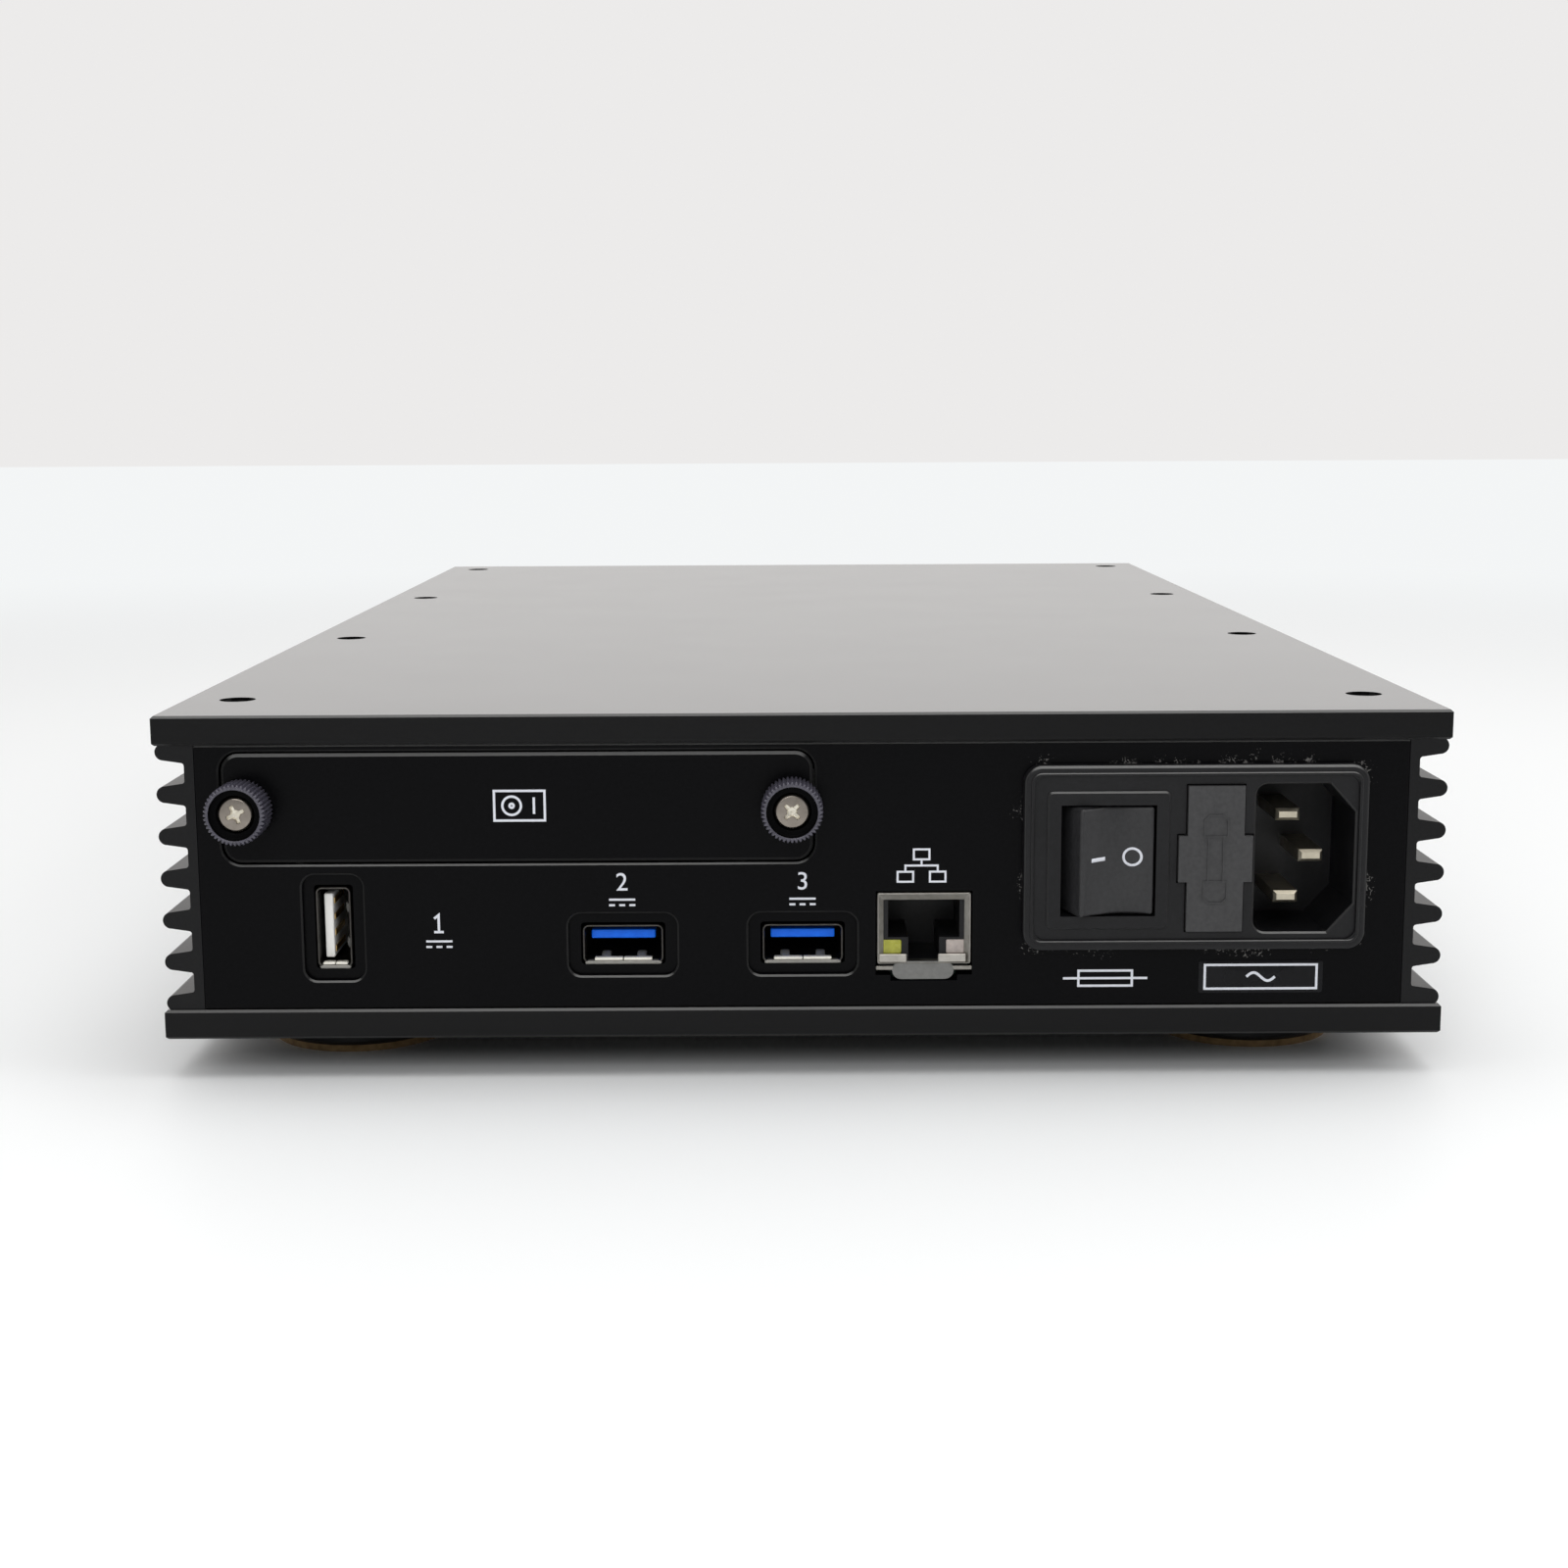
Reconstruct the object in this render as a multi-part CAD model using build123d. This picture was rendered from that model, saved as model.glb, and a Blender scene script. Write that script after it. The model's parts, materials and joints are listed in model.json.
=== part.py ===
import os
from math import cos, pi, sin

from build123d import *

# A half-width music server in a finned aluminium box, in millimetres.
# X runs along the width, the socket side faces -Y, Z is up.
# The origin is the middle of the box round the whole object, at the height of the pads' undersides.

# Box
chassis_width = 215.0
chassis_depth = 355.0
plate_thick = 5.0
body_height = 45.0
plate_chamfer = 0.4
edge_break = 0.3
panel_recess = 0.8
panel_lap = 1.73
rear_panel_thick = 3.0
front_panel_thick = 8.0

# Clearances and cutting
cut_overrun = 1.0
running_gap = 0.3
face_gap = 0.1
seat_gap = 0.05

# Feet
foot_radius = 16.5
foot_body_height = 5.8
foot_chamfer = 0.8
foot_pad_thick = 1.2
foot_pad_radius = 15.6
foot_inset_x = 27.5
foot_inset_y = 32.0

# Small screws of the case, boards, bays and feet
screw_shank_radius = 1.5
screw_head_radius = 2.75
screw_head_height = 2.6
screw_socket_radius = 1.3
screw_socket_depth = 1.5
screw_bore_radius = 3.1
screw_bore_depth = 3.2
screw_reach = 7.0
low_head_height = 1.6
case_screw_inset = 9.5
case_screw_first = 21.4
case_screw_last = 13.6
case_screw_rows = 4

# Side extrusions
fin_count = 7
fin_pitch = 7.13
fin_length = 4.74
fin_tip_inset = 0.28
fin_tip_radius = 1.4
fin_root_half = 1.9
fin_root_fillet = 0.5
web_thick = 4.0
ledge_width = 4.0
ledge_height = 8.0
ledge_setback = 17.0
panel_side_gap = 0.1

# Drive door and its thumbscrews
door_left = -96.5
door_right = 1.8
door_top_drop = 6.5
door_height = 18.4
door_thick = 3.0
door_corner = 3.0
door_edge = 0.5
door_gap = 0.35
thumb_inset = 3.5
cap_radius = 5.15
cap_tooth_depth = 0.3
cap_teeth = 44
cap_length = 6.5
cap_rim = 0.6
cap_dish_depth = 0.7
cap_bore_radius = 3.15
cap_bore_depth = 1.7
thumb_head_radius = 2.8
thumb_head_height = 1.5
thumb_shank_radius = 1.5
thumb_hole_radius = 1.8
thumb_cross_span = 3.2
thumb_cross_width = 0.7
thumb_cross_depth = 0.9
thumb_engage = 3.6
thumb_release = 4.0
clip_radius = 2.6
clip_thick = 0.8

# Drive, its tray and the bay that carries them
drive_width = 69.85
drive_length = 100.0
drive_height = 15.0
drive_corner = 2.0
drive_setback = 8.0
drive_side_gap = 0.2
drive_plug_width = 38.0
drive_plug_height = 6.0
drive_plug_depth = 4.0
tray_sheet = 1.2
tray_wall_height = 6.0
tray_flange_height = 13.0
door_screw_spread = 28.0
door_screw_head_radius = 2.2
door_screw_head_height = 1.4
door_screw_shank_radius = 1.2
door_screw_reach = 2.0
drive_screw_shank_radius = 1.4
drive_screw_head_height = 0.9
drive_screw_head_radius = 2.4
drive_screw_reach = 2.5
drive_screw_rise = 3.0
drive_screw_first = 14.0
drive_screw_spacing = 76.6
bay_sheet = 1.2
bay_wall_height = 16.5
bay_back_gap = 6.5
ear_thick = 6.0
ear_half_height = 5.0
ear_margin = 4.0
post_radius = 3.0
post_hole_gap = 1.0
post_spread = 28.0
post_rear = 40.0
post_front = 100.0
backplane_thick = 1.6
backplane_margin = 3.0

# Sockets
pocket_depth = 1.2
pocket_corner = 2.2
shell_inset = 0.6
shell_corner = 0.6
shell_wall = 0.4
shell_length = 15.0
usb_width = 13.6
usb_height = 6.6
usb_pocket_width = 18.3
usb_pocket_height = 10.7
usb_places_x = (-30.2, 0.0)
usb_drop = 39.2
audio_width = 13.8
audio_height = 5.9
audio_pocket_width = 18.2
audio_pocket_height = 10.2
audio_x = -78.7
audio_drop = 36.1
tongue_side_gap = 1.0
tongue_drop = 0.7
tongue_thick = 1.5
tongue_setback = 1.6
tongue_base = 4.4
contact_width = 1.0
contact_thick = 0.2
contact_setback = 0.8
contact_count = 4
spring_width = 1.6
spring_length = 4.0
spring_thick = 0.5
spring_spread = 3.0
spring_setback = 1.5

# Network jack
jack_left = 12.5
jack_right = 28.2
jack_top_drop = 30.5
jack_bottom_drop = 44.4
jack_proud = 0.3
jack_depth = 21.0
jack_wall = 0.4
jack_hole_gap = 0.25
jack_cavity_width = 12.0
jack_cavity_top_drop = 31.7
jack_cavity_bottom_drop = 38.3
jack_cavity_depth = 14.0
jack_latch_width = 5.2
jack_latch_drop = 42.3
jack_light_width = 3.2
jack_light_height = 2.4
jack_light_inset = 0.9
jack_light_depth = 6.0
jack_funnel = 0.9
jack_contact_count = 8
jack_contact_pitch = 1.02
jack_contact_width = 0.5
jack_contact_thick = 0.4
jack_contact_length = 9.0
jack_contact_setback = 3.0
jack_tab_width = 10.7
jack_tab_reach = 1.0
jack_tab_thick = 0.4

# Mains inlet module
inlet_left = 36.7
inlet_right = 93.9
inlet_top_drop = 8.85
inlet_height = 31.3
inlet_corner = 3.0
flange_thick = 2.2
flange_rim = 1.7
rim_step = 0.5
flange_edge_radius = 0.7
inlet_body_inset = 2.0
inlet_body_depth = 24.0
recess_left = 75.2
recess_right = 91.7
recess_top_drop = 12.1
recess_height = 25.1
recess_corner = 2.0
recess_chamfer_x = 4.3
recess_chamfer_z = 4.8
recess_depth = 17.0
pin_width = 4.0
pin_thick = 2.0
pin_spacing = 14.0
pin_earth_offset = 4.0
pin_earth_shift = 1.5
pin_tip_setback = 2.6
pin_tip_taper = 0.5
terminal_length = 8.0

# Rocker switch
rocker_left = 43.2
rocker_right = 58.4
rocker_top_drop = 15.8
rocker_height = 18.2
rocker_slope_degrees = 11.0
rocker_pivot_depth = 5.5
rocker_half_depth = 5.0
rocker_end_taper = 2.2
rocker_edge_radius = 0.4
rocker_face_depth = 0.4
rocker_trunnion_radius = 1.2
rocker_trunnion_length = 1.4
rocker_trunnion_gap = 0.08
rocker_well_depth = 14.0
bezel_margin = 2.6
bezel_corner = 1.0
bezel_proud = 0.4

# Fuse drawer
drawer_left = 63.85
drawer_right = 73.2
drawer_top_drop = 12.3
drawer_height = 24.6
drawer_proud = 0.3
drawer_depth = 19.0
drawer_tab_reach = 1.45
drawer_tab_top_drop = 20.7
drawer_tab_height = 7.8
drawer_tab_depth = 1.2
drawer_gap = 0.25
fuse_radius = 2.6
fuse_length = 20.0
fuse_cap_length = 5.0
fuse_cap_wall = 0.2
fuse_slot_gap = 0.05
fuse_setback = 4.0
fuse_outline_raise = 0.2
fuse_outline_width = 0.22
fuse_outline_length = 15.0
fuse_outline_end = 4.1
fuse_outline_cap = 3.8
fuse_outline_corner = 0.9
fuse_outline_tube = 2.3

# Front panel, its window and buttons
window_width = 84.0
window_height = 26.0
window_thick = 2.0
window_corner = 2.0
display_margin = 4.0
power_x = -75.0
power_radius = 6.0
control_xs = (58.0, 68.0, 78.0, 88.0)
control_radius = 3.2
button_proud = 0.6
button_flange_margin = 1.6
button_flange_thick = 1.5
button_travel = 1.2
switch_half_width = 2.5
switch_height = 3.0
control_board_thick = 1.6
control_board_height = 30.0
control_board_half = 94.0
boss_radius = 2.5
boss_reach_x = 91.0
boss_reach_z = 12.0
board_screw_head_radius = 2.2
board_screw_reach = 4.0
board_screw_shank_radius = 1.2

# Boards and what they carry
board_thick = 1.6
board_left = -92.0
board_right = 33.0
board_length = 170.0
board_rear_gap = 1.0
standoff_radius = 2.5
standoff_edge = 5.0
standoff_rear = 28.0
standoff_screw_radius = 1.2
processor_size = 30.0
processor_height = 2.4
processor_x = -40.0
processor_forward = 156.0
heat_block_size = 40.0
heat_block_height = 14.0
pipe_radius = 3.0
pipe_count = 2
pipe_pitch = 14.0
pipe_bend = 14.0
pipe_rise = 9.0
pipe_run = 70.0
pipe_wall_gap = 5.0
pipe_start = 14.0
clamp_height = 13.0
clamp_length = 50.0
clamp_wall = 5.0
memory_width = 30.0
memory_length = 67.6
memory_thick = 3.8
memory_x = 8.0
memory_forward = 60.0
supply_left = 41.0
supply_right = 92.0
supply_rear = 44.0
supply_length = 120.0
capacitor_radius = 9.0
capacitor_height = 32.0
capacitor_count = 4
capacitor_x = 60.0
capacitor_pitch = 20.0
capacitor_forward = 34.0
regulator_width = 10.0
regulator_thick = 4.6
regulator_height = 15.0
regulator_count = 3
regulator_pitch = 24.0
regulator_forward = 46.0
regulator_x = 80.0
terminal_strip_depth = 14.0
terminal_strip_height = 8.0
terminal_strip_left = 70.0
terminal_strip_right = 90.0
terminal_strip_forward = 9.0
transformer_radius = 32.0
transformer_hole = 9.0
transformer_height = 32.0
transformer_round = 8.0
transformer_x = 60.0
transformer_y = 60.0
transformer_pad = 2.0
dish_radius = 24.0
dish_thick = 2.0
transformer_bolt_radius = 3.0
transformer_bolt_head = 5.0
transformer_bolt_head_height = 4.0

# Inside leads
mains_lead_radius = 1.4
mains_lead_bend = 3.0
mains_lead_run = 25.0
mains_lead_step = 5.0
supply_lead_radius = 1.3
supply_lead_bend = 4.0
supply_lead_rise = 12.0
supply_lead_pitch = 4.0
supply_lead_count = 4
supply_lead_inset = 5.0
supply_lead_forward = 130.0
transformer_lead_radius = 1.3
transformer_lead_bend = 5.0
transformer_lead_pitch = 6.0
transformer_lead_rise = 9.0
ribbon_width = 18.0
ribbon_thick = 0.8
ribbon_bend = 3.0
ribbon_x = 0.0
ribbon_reach = 8.0
ribbon_header_height = 6.0
ribbon_header_depth = 5.0
drive_lead_width = 14.0
drive_lead_reach = 10.0

# Levels and edges that follow from the sizes above
base_low = foot_pad_thick + foot_body_height
base_top = base_low + plate_thick
lid_low = base_top + body_height
lid_top = lid_low + plate_thick
half_width = chassis_width / 2
cap_proud = cap_length + face_gap - panel_recess
rear_edge = -(chassis_depth - cap_proud) / 2
front_edge = rear_edge + chassis_depth
panel_face = rear_edge + panel_recess
panel_back = panel_face + rear_panel_thick
front_face = front_edge - panel_recess
front_back = front_face - front_panel_thick
mid_height = (base_top + lid_low) / 2
fin_tip_x = half_width - fin_tip_inset
fin_root_x = fin_tip_x - fin_length
web_inner_x = fin_root_x - web_thick
panel_half_width = fin_root_x - panel_lap
board_top = lid_top - jack_bottom_drop
board_low = board_top - board_thick
board_rear = panel_back + board_rear_gap
board_front = board_rear + board_length
supply_start = panel_face + supply_rear
flange_face = panel_face - flange_thick

# Places of the drive door, tray and bay
door_top = lid_top - door_top_drop
door_low = door_top - door_height
door_back = panel_face + door_thick
door_mid_x = (door_left + door_right) / 2
thumb_z = door_top - door_height / 2
thumb_xs = (door_left + thumb_inset, door_right - thumb_inset)
ear_face = door_back + thumb_release + clip_thick + 2 * face_gap + running_gap
tray_low = door_low
tray_top = tray_low + tray_sheet
tray_half = drive_width / 2 + drive_side_gap + tray_sheet
drive_rear = door_back + drive_setback
drive_front = drive_rear + drive_length
bay_floor_top = tray_low - running_gap
bay_floor_low = bay_floor_top - bay_sheet
bay_half = tray_half + running_gap + bay_sheet
bay_rear = door_back + face_gap
bay_front = drive_front + bay_back_gap

both_sides = (-1, 1)
case_screw_x = half_width - case_screw_inset
case_screw_pitch = (chassis_depth - case_screw_first - case_screw_last) / (case_screw_rows - 1)
case_screw_ys = [rear_edge + case_screw_first + row * case_screw_pitch for row in range(case_screw_rows)]
case_screw_places = [(side * case_screw_x, y) for side in both_sides for y in case_screw_ys]
foot_x = half_width - foot_inset_x
foot_ys = (rear_edge + foot_inset_y, front_edge - foot_inset_y)
foot_places = [(side * foot_x, y) for side in both_sides for y in foot_ys]
post_places = [
    (door_mid_x + side * post_spread, panel_face + forward)
    for side in both_sides
    for forward in (post_rear, post_front)
]


def board_corners(left, right, first, last):
    """Places of the four screws of a board, in from its side edges."""
    xs = (left + standoff_edge, right - standoff_edge)
    return [(x, y) for x in xs for y in (first, last)]


main_places = board_corners(board_left, board_right, board_rear + standoff_rear, board_front - standoff_edge)
supply_places = board_corners(
    supply_left, supply_right, supply_start + standoff_edge, supply_start + supply_length - standoff_edge
)


def block(x0, x1, y0, y1, z0, z1):
    """A box between two corners."""
    return Pos(x0, y0, z0) * Box(x1 - x0, y1 - y0, z1 - z0, align=(Align.MIN, Align.MIN, Align.MIN))


def rod_z(x, y, radius, z0, z1):
    """An upright round bar."""
    return Pos(x, y, z0) * Cylinder(radius, z1 - z0, align=(Align.CENTER, Align.CENTER, Align.MIN))


def rod_y(x, z, radius, y0, y1):
    """A round bar along Y."""
    bar = Cylinder(radius, y1 - y0, align=(Align.CENTER, Align.CENTER, Align.MIN))
    return Pos(x, y1, z) * Rot(90, 0, 0) * bar


def slab_at(x, z, width, height, corner):
    """A rectangle in X and Z round a middle, with round corners."""
    return Pos(x, z) * RectangleRounded(width, height, corner)


def prism_y(sketch, y0, y1):
    """A sketch drawn in X and Z, carried along Y."""
    plane = Plane(origin=(0, y1, 0), x_dir=(1, 0, 0), z_dir=(0, -1, 0))
    return extrude(plane * sketch, y1 - y0)


def flare_y(sketch, y):
    """The cut that breaks the edge of a mouth at y, wider towards -Y."""
    plane = Plane(origin=(0, y + edge_break, 0), x_dir=(1, 0, 0), z_dir=(0, -1, 0))
    return extrude(plane * sketch, edge_break + seat_gap, taper=-45)


def prism_x(sketch, x0, x1):
    """A sketch drawn in Y and Z, carried along X."""
    return extrude(Plane.YZ.offset(x0) * sketch, x1 - x0)


def slab(x0, x1, z0, z1, corner):
    """A rectangle in X and Z with round corners."""
    return Pos((x0 + x1) / 2, (z0 + z1) / 2) * RectangleRounded(x1 - x0, z1 - z0, corner)


def tube_along(points, bend, radius):
    """A round wire along straight runs joined by arcs."""
    path = FilletPolyline(*points, radius=bend)
    start = Plane(origin=path @ 0, z_dir=path % 0)
    return sweep(start * Circle(radius), path=path)


def save(name, *solids):
    """Write one sub-part, alone or as a group of separate solids."""
    shape = solids[0] if len(solids) == 1 else Compound(children=list(solids))
    export_step(shape, f"parts/{name}.step")


def socket_screw(x, y, head_face, reach, upwards):
    """A socket-head screw whose head's outer face is at head_face, pointing down or up."""
    sign = 1 if upwards else -1
    head_inner = head_face + sign * screw_head_height
    low, high = sorted((head_face, head_inner))
    screw = rod_z(x, y, screw_head_radius, low, high)
    low, high = sorted((head_inner, head_inner + sign * reach))
    screw += rod_z(x, y, screw_shank_radius, low, high)
    low, high = sorted((head_face - sign * cut_overrun, head_face + sign * screw_socket_depth))
    hexagon = Pos(x, y, low) * extrude(RegularPolygon(screw_socket_radius, 6), high - low)
    return screw - hexagon


def case_plate(low, high, screw_face_up):
    """A lid or base plate with counterbored screw holes, its outer edges broken by a chamfer."""
    plate = block(-half_width, half_width, rear_edge, front_edge, low, high)
    plate = chamfer(plate.edges().group_by(Axis.Z)[-1], plate_chamfer)
    plate = chamfer(plate.edges().group_by(Axis.Z)[0], plate_chamfer)
    bore_low = high - screw_bore_depth if screw_face_up else low - cut_overrun
    bore_high = high + cut_overrun if screw_face_up else low + screw_bore_depth
    for x, y in case_screw_places:
        plate -= rod_z(x, y, screw_bore_radius, bore_low, bore_high)
        plate -= rod_z(x, y, screw_shank_radius + running_gap, low - cut_overrun, high + cut_overrun)
    return plate


def screw_up_holes(shape, places, radius):
    """Clear holes up through the base plate."""
    for x, y in places:
        shape -= rod_z(x, y, radius, base_low - cut_overrun, base_top + cut_overrun)
    return shape


def lid():
    return case_plate(lid_low, lid_top, True)


def base():
    plate = case_plate(base_low, base_top, False)
    plate = screw_up_holes(plate, foot_places, screw_shank_radius + seat_gap)
    plate = screw_up_holes(plate, main_places + supply_places, standoff_screw_radius + seat_gap)
    plate = screw_up_holes(plate, post_places, standoff_screw_radius + seat_gap)
    return screw_up_holes(plate, [(transformer_x, transformer_y)], transformer_bolt_radius + seat_gap)


def case_screws():
    lid_head = lid_top - screw_bore_depth + screw_head_height
    base_head = base_low + screw_bore_depth - screw_head_height
    lid_screws = [socket_screw(x, y, lid_head, screw_reach, False) for x, y in case_screw_places]
    base_screws = [socket_screw(x, y, base_head, screw_reach, True) for x, y in case_screw_places]
    return lid_screws, base_screws


def side_outline():
    """End view of the right-hand extrusion: an upright web with tapered, round-tipped fins and two ledges."""
    edges = []
    tip_centre = fin_tip_x - fin_tip_radius
    first = mid_height - (fin_count - 1) / 2 * fin_pitch
    corner = (fin_root_x, first - fin_pitch)
    start = (web_inner_x, first - fin_pitch)
    edges.append(Line(start, corner))
    for number in range(fin_count):
        z = first + number * fin_pitch
        low_root = (fin_root_x, z - fin_root_half)
        low_tip = (tip_centre, z - fin_tip_radius)
        high_tip = (tip_centre, z + fin_tip_radius)
        high_root = (fin_root_x, z + fin_root_half)
        edges.append(Line(corner, low_root))
        edges.append(Line(low_root, low_tip))
        edges.append(ThreePointArc(low_tip, (fin_tip_x, z), high_tip))
        edges.append(Line(high_tip, high_root))
        corner = high_root
    top_corner = (fin_root_x, first + fin_count * fin_pitch)
    end = (web_inner_x, first + fin_count * fin_pitch)
    edges += [Line(corner, top_corner), Line(top_corner, end), Line(end, start)]
    outline = make_face(Curve() + edges)
    roots = [v for v in outline.vertices() if abs(v.X - fin_root_x) < seat_gap]
    lowest, highest = first - fin_pitch, first + fin_count * fin_pitch
    roots = [v for v in roots if lowest + seat_gap < v.Y < highest - seat_gap]
    outline = fillet(roots, fin_root_fillet)
    reach = half_width + cut_overrun
    outline &= Pos(reach / 2, mid_height) * Rectangle(reach, body_height)
    return outline


def side_extrusion():
    """The right-hand side, milled back at both ends so that the panels seat in it."""
    side = prism_y(side_outline(), panel_face, front_face)
    ledge_inner = web_inner_x - ledge_width
    for low, high in ((base_top, base_top + ledge_height), (lid_low - ledge_height, lid_low)):
        side += block(ledge_inner, web_inner_x, panel_face + ledge_setback, front_back, low, high)
    rebate_x = panel_half_width + panel_side_gap
    for y0, y1 in ((panel_face - cut_overrun, panel_back), (front_back, front_face + cut_overrun)):
        side -= block(ledge_inner, rebate_x, y0, y1, base_top - cut_overrun, lid_low + cut_overrun)
    depth = screw_reach + screw_head_height
    for y in case_screw_ys:
        tap = screw_shank_radius + seat_gap
        side -= rod_z(case_screw_x, y, tap, lid_low - depth, lid_low + cut_overrun)
        side -= rod_z(case_screw_x, y, tap, base_top - cut_overrun, base_top + depth)
    return side


def feet():
    """Round feet, each with a screw up into the base and a soft pad that covers it."""
    bodies, pads, screws = [], [], []
    for x, y in foot_places:
        body = rod_z(x, y, foot_radius, foot_pad_thick, base_low)
        body = chamfer(body.edges().group_by(Axis.Z)[0], foot_chamfer)
        bore_top = foot_pad_thick + screw_head_height
        body -= rod_z(x, y, screw_bore_radius, foot_pad_thick - cut_overrun, bore_top)
        body -= rod_z(x, y, screw_shank_radius + seat_gap, foot_pad_thick, base_low + cut_overrun)
        bodies.append(body)
        pads.append(rod_z(x, y, foot_pad_radius, 0, foot_pad_thick))
        reach = base_top - foot_pad_thick - screw_head_height
        screws.append(socket_screw(x, y, foot_pad_thick, reach, True))
    return bodies, pads, screws


def port_pocket(x, z, pocket_width, pocket_height, width, height):
    """The shallow pocket in the rear panel round a socket, and the hole for its shell."""
    pocket = slab_at(x, z, pocket_width, pocket_height, pocket_corner)
    hole = slab_at(x, z, width + 2 * running_gap, height + 2 * running_gap, shell_corner)
    cut = prism_y(pocket, panel_face - cut_overrun, panel_face + pocket_depth)
    cut += flare_y(pocket, panel_face)
    return cut + prism_y(hole, panel_face, panel_back + cut_overrun)


def rear_panel():
    panel = block(-panel_half_width, panel_half_width, panel_face, panel_back, base_top, lid_low)
    panel = chamfer(panel.faces().sort_by(Axis.Y)[0].edges().filter_by(Axis.X), edge_break)
    width = door_right - door_left + 2 * door_gap
    opening = slab_at(door_mid_x, thumb_z, width, door_height + 2 * door_gap, door_corner + door_gap)
    panel -= prism_y(opening, panel_face - cut_overrun, panel_back + cut_overrun)
    panel -= flare_y(opening, panel_face)
    for x in usb_places_x:
        z = lid_top - usb_drop
        panel -= port_pocket(x, z, usb_pocket_width, usb_pocket_height, usb_width, usb_height)
    panel -= port_pocket(
        audio_x, lid_top - audio_drop, audio_pocket_height, audio_pocket_width, audio_height, audio_width
    )
    jack_low = lid_top - jack_bottom_drop - jack_hole_gap
    jack_high = lid_top - jack_top_drop + jack_hole_gap
    y0, y1 = panel_face - cut_overrun, panel_back + cut_overrun
    panel -= block(jack_left - jack_hole_gap, jack_right + jack_hole_gap, y0, y1, jack_low, jack_high)
    tab_mid = (jack_left + jack_right) / 2
    tab_half = jack_tab_width / 2 + jack_hole_gap
    panel -= block(tab_mid - tab_half, tab_mid + tab_half, y0, y1, jack_low - jack_tab_reach, jack_high)
    left, right, low, high = inlet_body_limits()
    return panel - block(
        left - running_gap, right + running_gap, y0, y1, low - running_gap, high + running_gap
    )


def drive_door():
    door = prism_y(slab(door_left, door_right, door_low, door_top, door_corner), panel_face, door_back)
    door = chamfer(door.faces().sort_by(Axis.Y)[0].edges(), door_edge)
    for x in thumb_xs:
        door -= rod_y(x, thumb_z, thumb_hole_radius, panel_face - cut_overrun, door_back + cut_overrun)
    for x, z in door_screw_places():
        tap = door_screw_shank_radius + seat_gap
        door -= rod_y(x, z, tap, door_back - door_screw_reach, door_back + cut_overrun)
    return door


def door_screw_places():
    z = tray_top + tray_flange_height / 2
    return [(door_mid_x + side * door_screw_spread, z) for side in both_sides]


def drive_screw_places():
    first = drive_rear + drive_screw_first
    return [(side, y) for side in both_sides for y in (first, first + drive_screw_spacing)]


def drive_tray():
    """A folded tray: floor, two low walls and a flange screwed to the door's back."""
    left, right = door_mid_x - tray_half, door_mid_x + tray_half
    tray = block(left, right, door_back, drive_front, tray_low, tray_top)
    for x in (left, right - tray_sheet):
        tray += block(x, x + tray_sheet, door_back, drive_front, tray_top, tray_top + tray_wall_height)
    tray += block(left, right, door_back, door_back + tray_sheet, tray_top, tray_top + tray_flange_height)
    for x, z in door_screw_places():
        hole = door_screw_shank_radius + seat_gap
        tray -= rod_y(x, z, hole, door_back - cut_overrun, door_back + tray_sheet + cut_overrun)
    for side, y in drive_screw_places():
        tray -= drive_screw_bar(side, y, drive_screw_shank_radius + seat_gap, tray_half + cut_overrun)
        head_inner = tray_half - drive_screw_head_height
        sink = drive_screw_head_radius + seat_gap
        tray -= drive_screw_bar(side, y, sink, tray_half + cut_overrun, head_inner)
    return tray


def drive_screw_bar(side, y, radius, outer, inner=None):
    """A round bar along X from the drive's side towards the tray wall's outer face."""
    inner = drive_width / 2 - drive_screw_reach if inner is None else inner
    bar = Cylinder(radius, outer - inner, align=(Align.CENTER, Align.CENTER, Align.MIN))
    return Pos(door_mid_x + side * inner, y, tray_top + drive_screw_rise) * Rot(0, side * 90, 0) * bar


def drive_screws():
    screws = []
    for side, y in drive_screw_places():
        screw = drive_screw_bar(side, y, drive_screw_shank_radius, tray_half)
        head_inner = tray_half - drive_screw_head_height
        screws.append(screw + drive_screw_bar(side, y, drive_screw_head_radius, tray_half, head_inner))
    return screws


def door_screws():
    screws = []
    for x, z in door_screw_places():
        seat = door_back + tray_sheet
        screw = rod_y(x, z, door_screw_shank_radius, door_back - door_screw_reach, seat)
        screws.append(screw + rod_y(x, z, door_screw_head_radius, seat, seat + door_screw_head_height))
    return screws


def drive():
    half = drive_width / 2
    left, right = door_mid_x - half, door_mid_x + half
    body = block(left, right, drive_rear, drive_front, tray_top, tray_top + drive_height)
    body = fillet(body.edges().filter_by(Axis.Z), drive_corner)
    plug = drive_plug_width / 2
    low = tray_top + tray_sheet
    body -= block(
        door_mid_x - plug, door_mid_x + plug, drive_front - drive_plug_depth, drive_front + cut_overrun,
        low, low + drive_plug_height,
    )
    for side, y in drive_screw_places():
        body -= drive_screw_bar(side, y, drive_screw_shank_radius + seat_gap, half + cut_overrun)
    return body


def drive_socket():
    """The fixed connector that stands in the drive's end, held by the backplane board."""
    half = drive_plug_width / 2 - running_gap
    low = tray_top + tray_sheet + running_gap
    high = low + drive_plug_height - 2 * running_gap
    start = drive_front - drive_plug_depth + running_gap
    return block(door_mid_x - half, door_mid_x + half, start, bay_front + bay_sheet, low, high)


def backplane():
    half = bay_half - backplane_margin
    start = bay_front + bay_sheet
    high = bay_floor_top + bay_wall_height - backplane_margin
    return block(door_mid_x - half, door_mid_x + half, start, start + backplane_thick, bay_floor_top, high)


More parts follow.
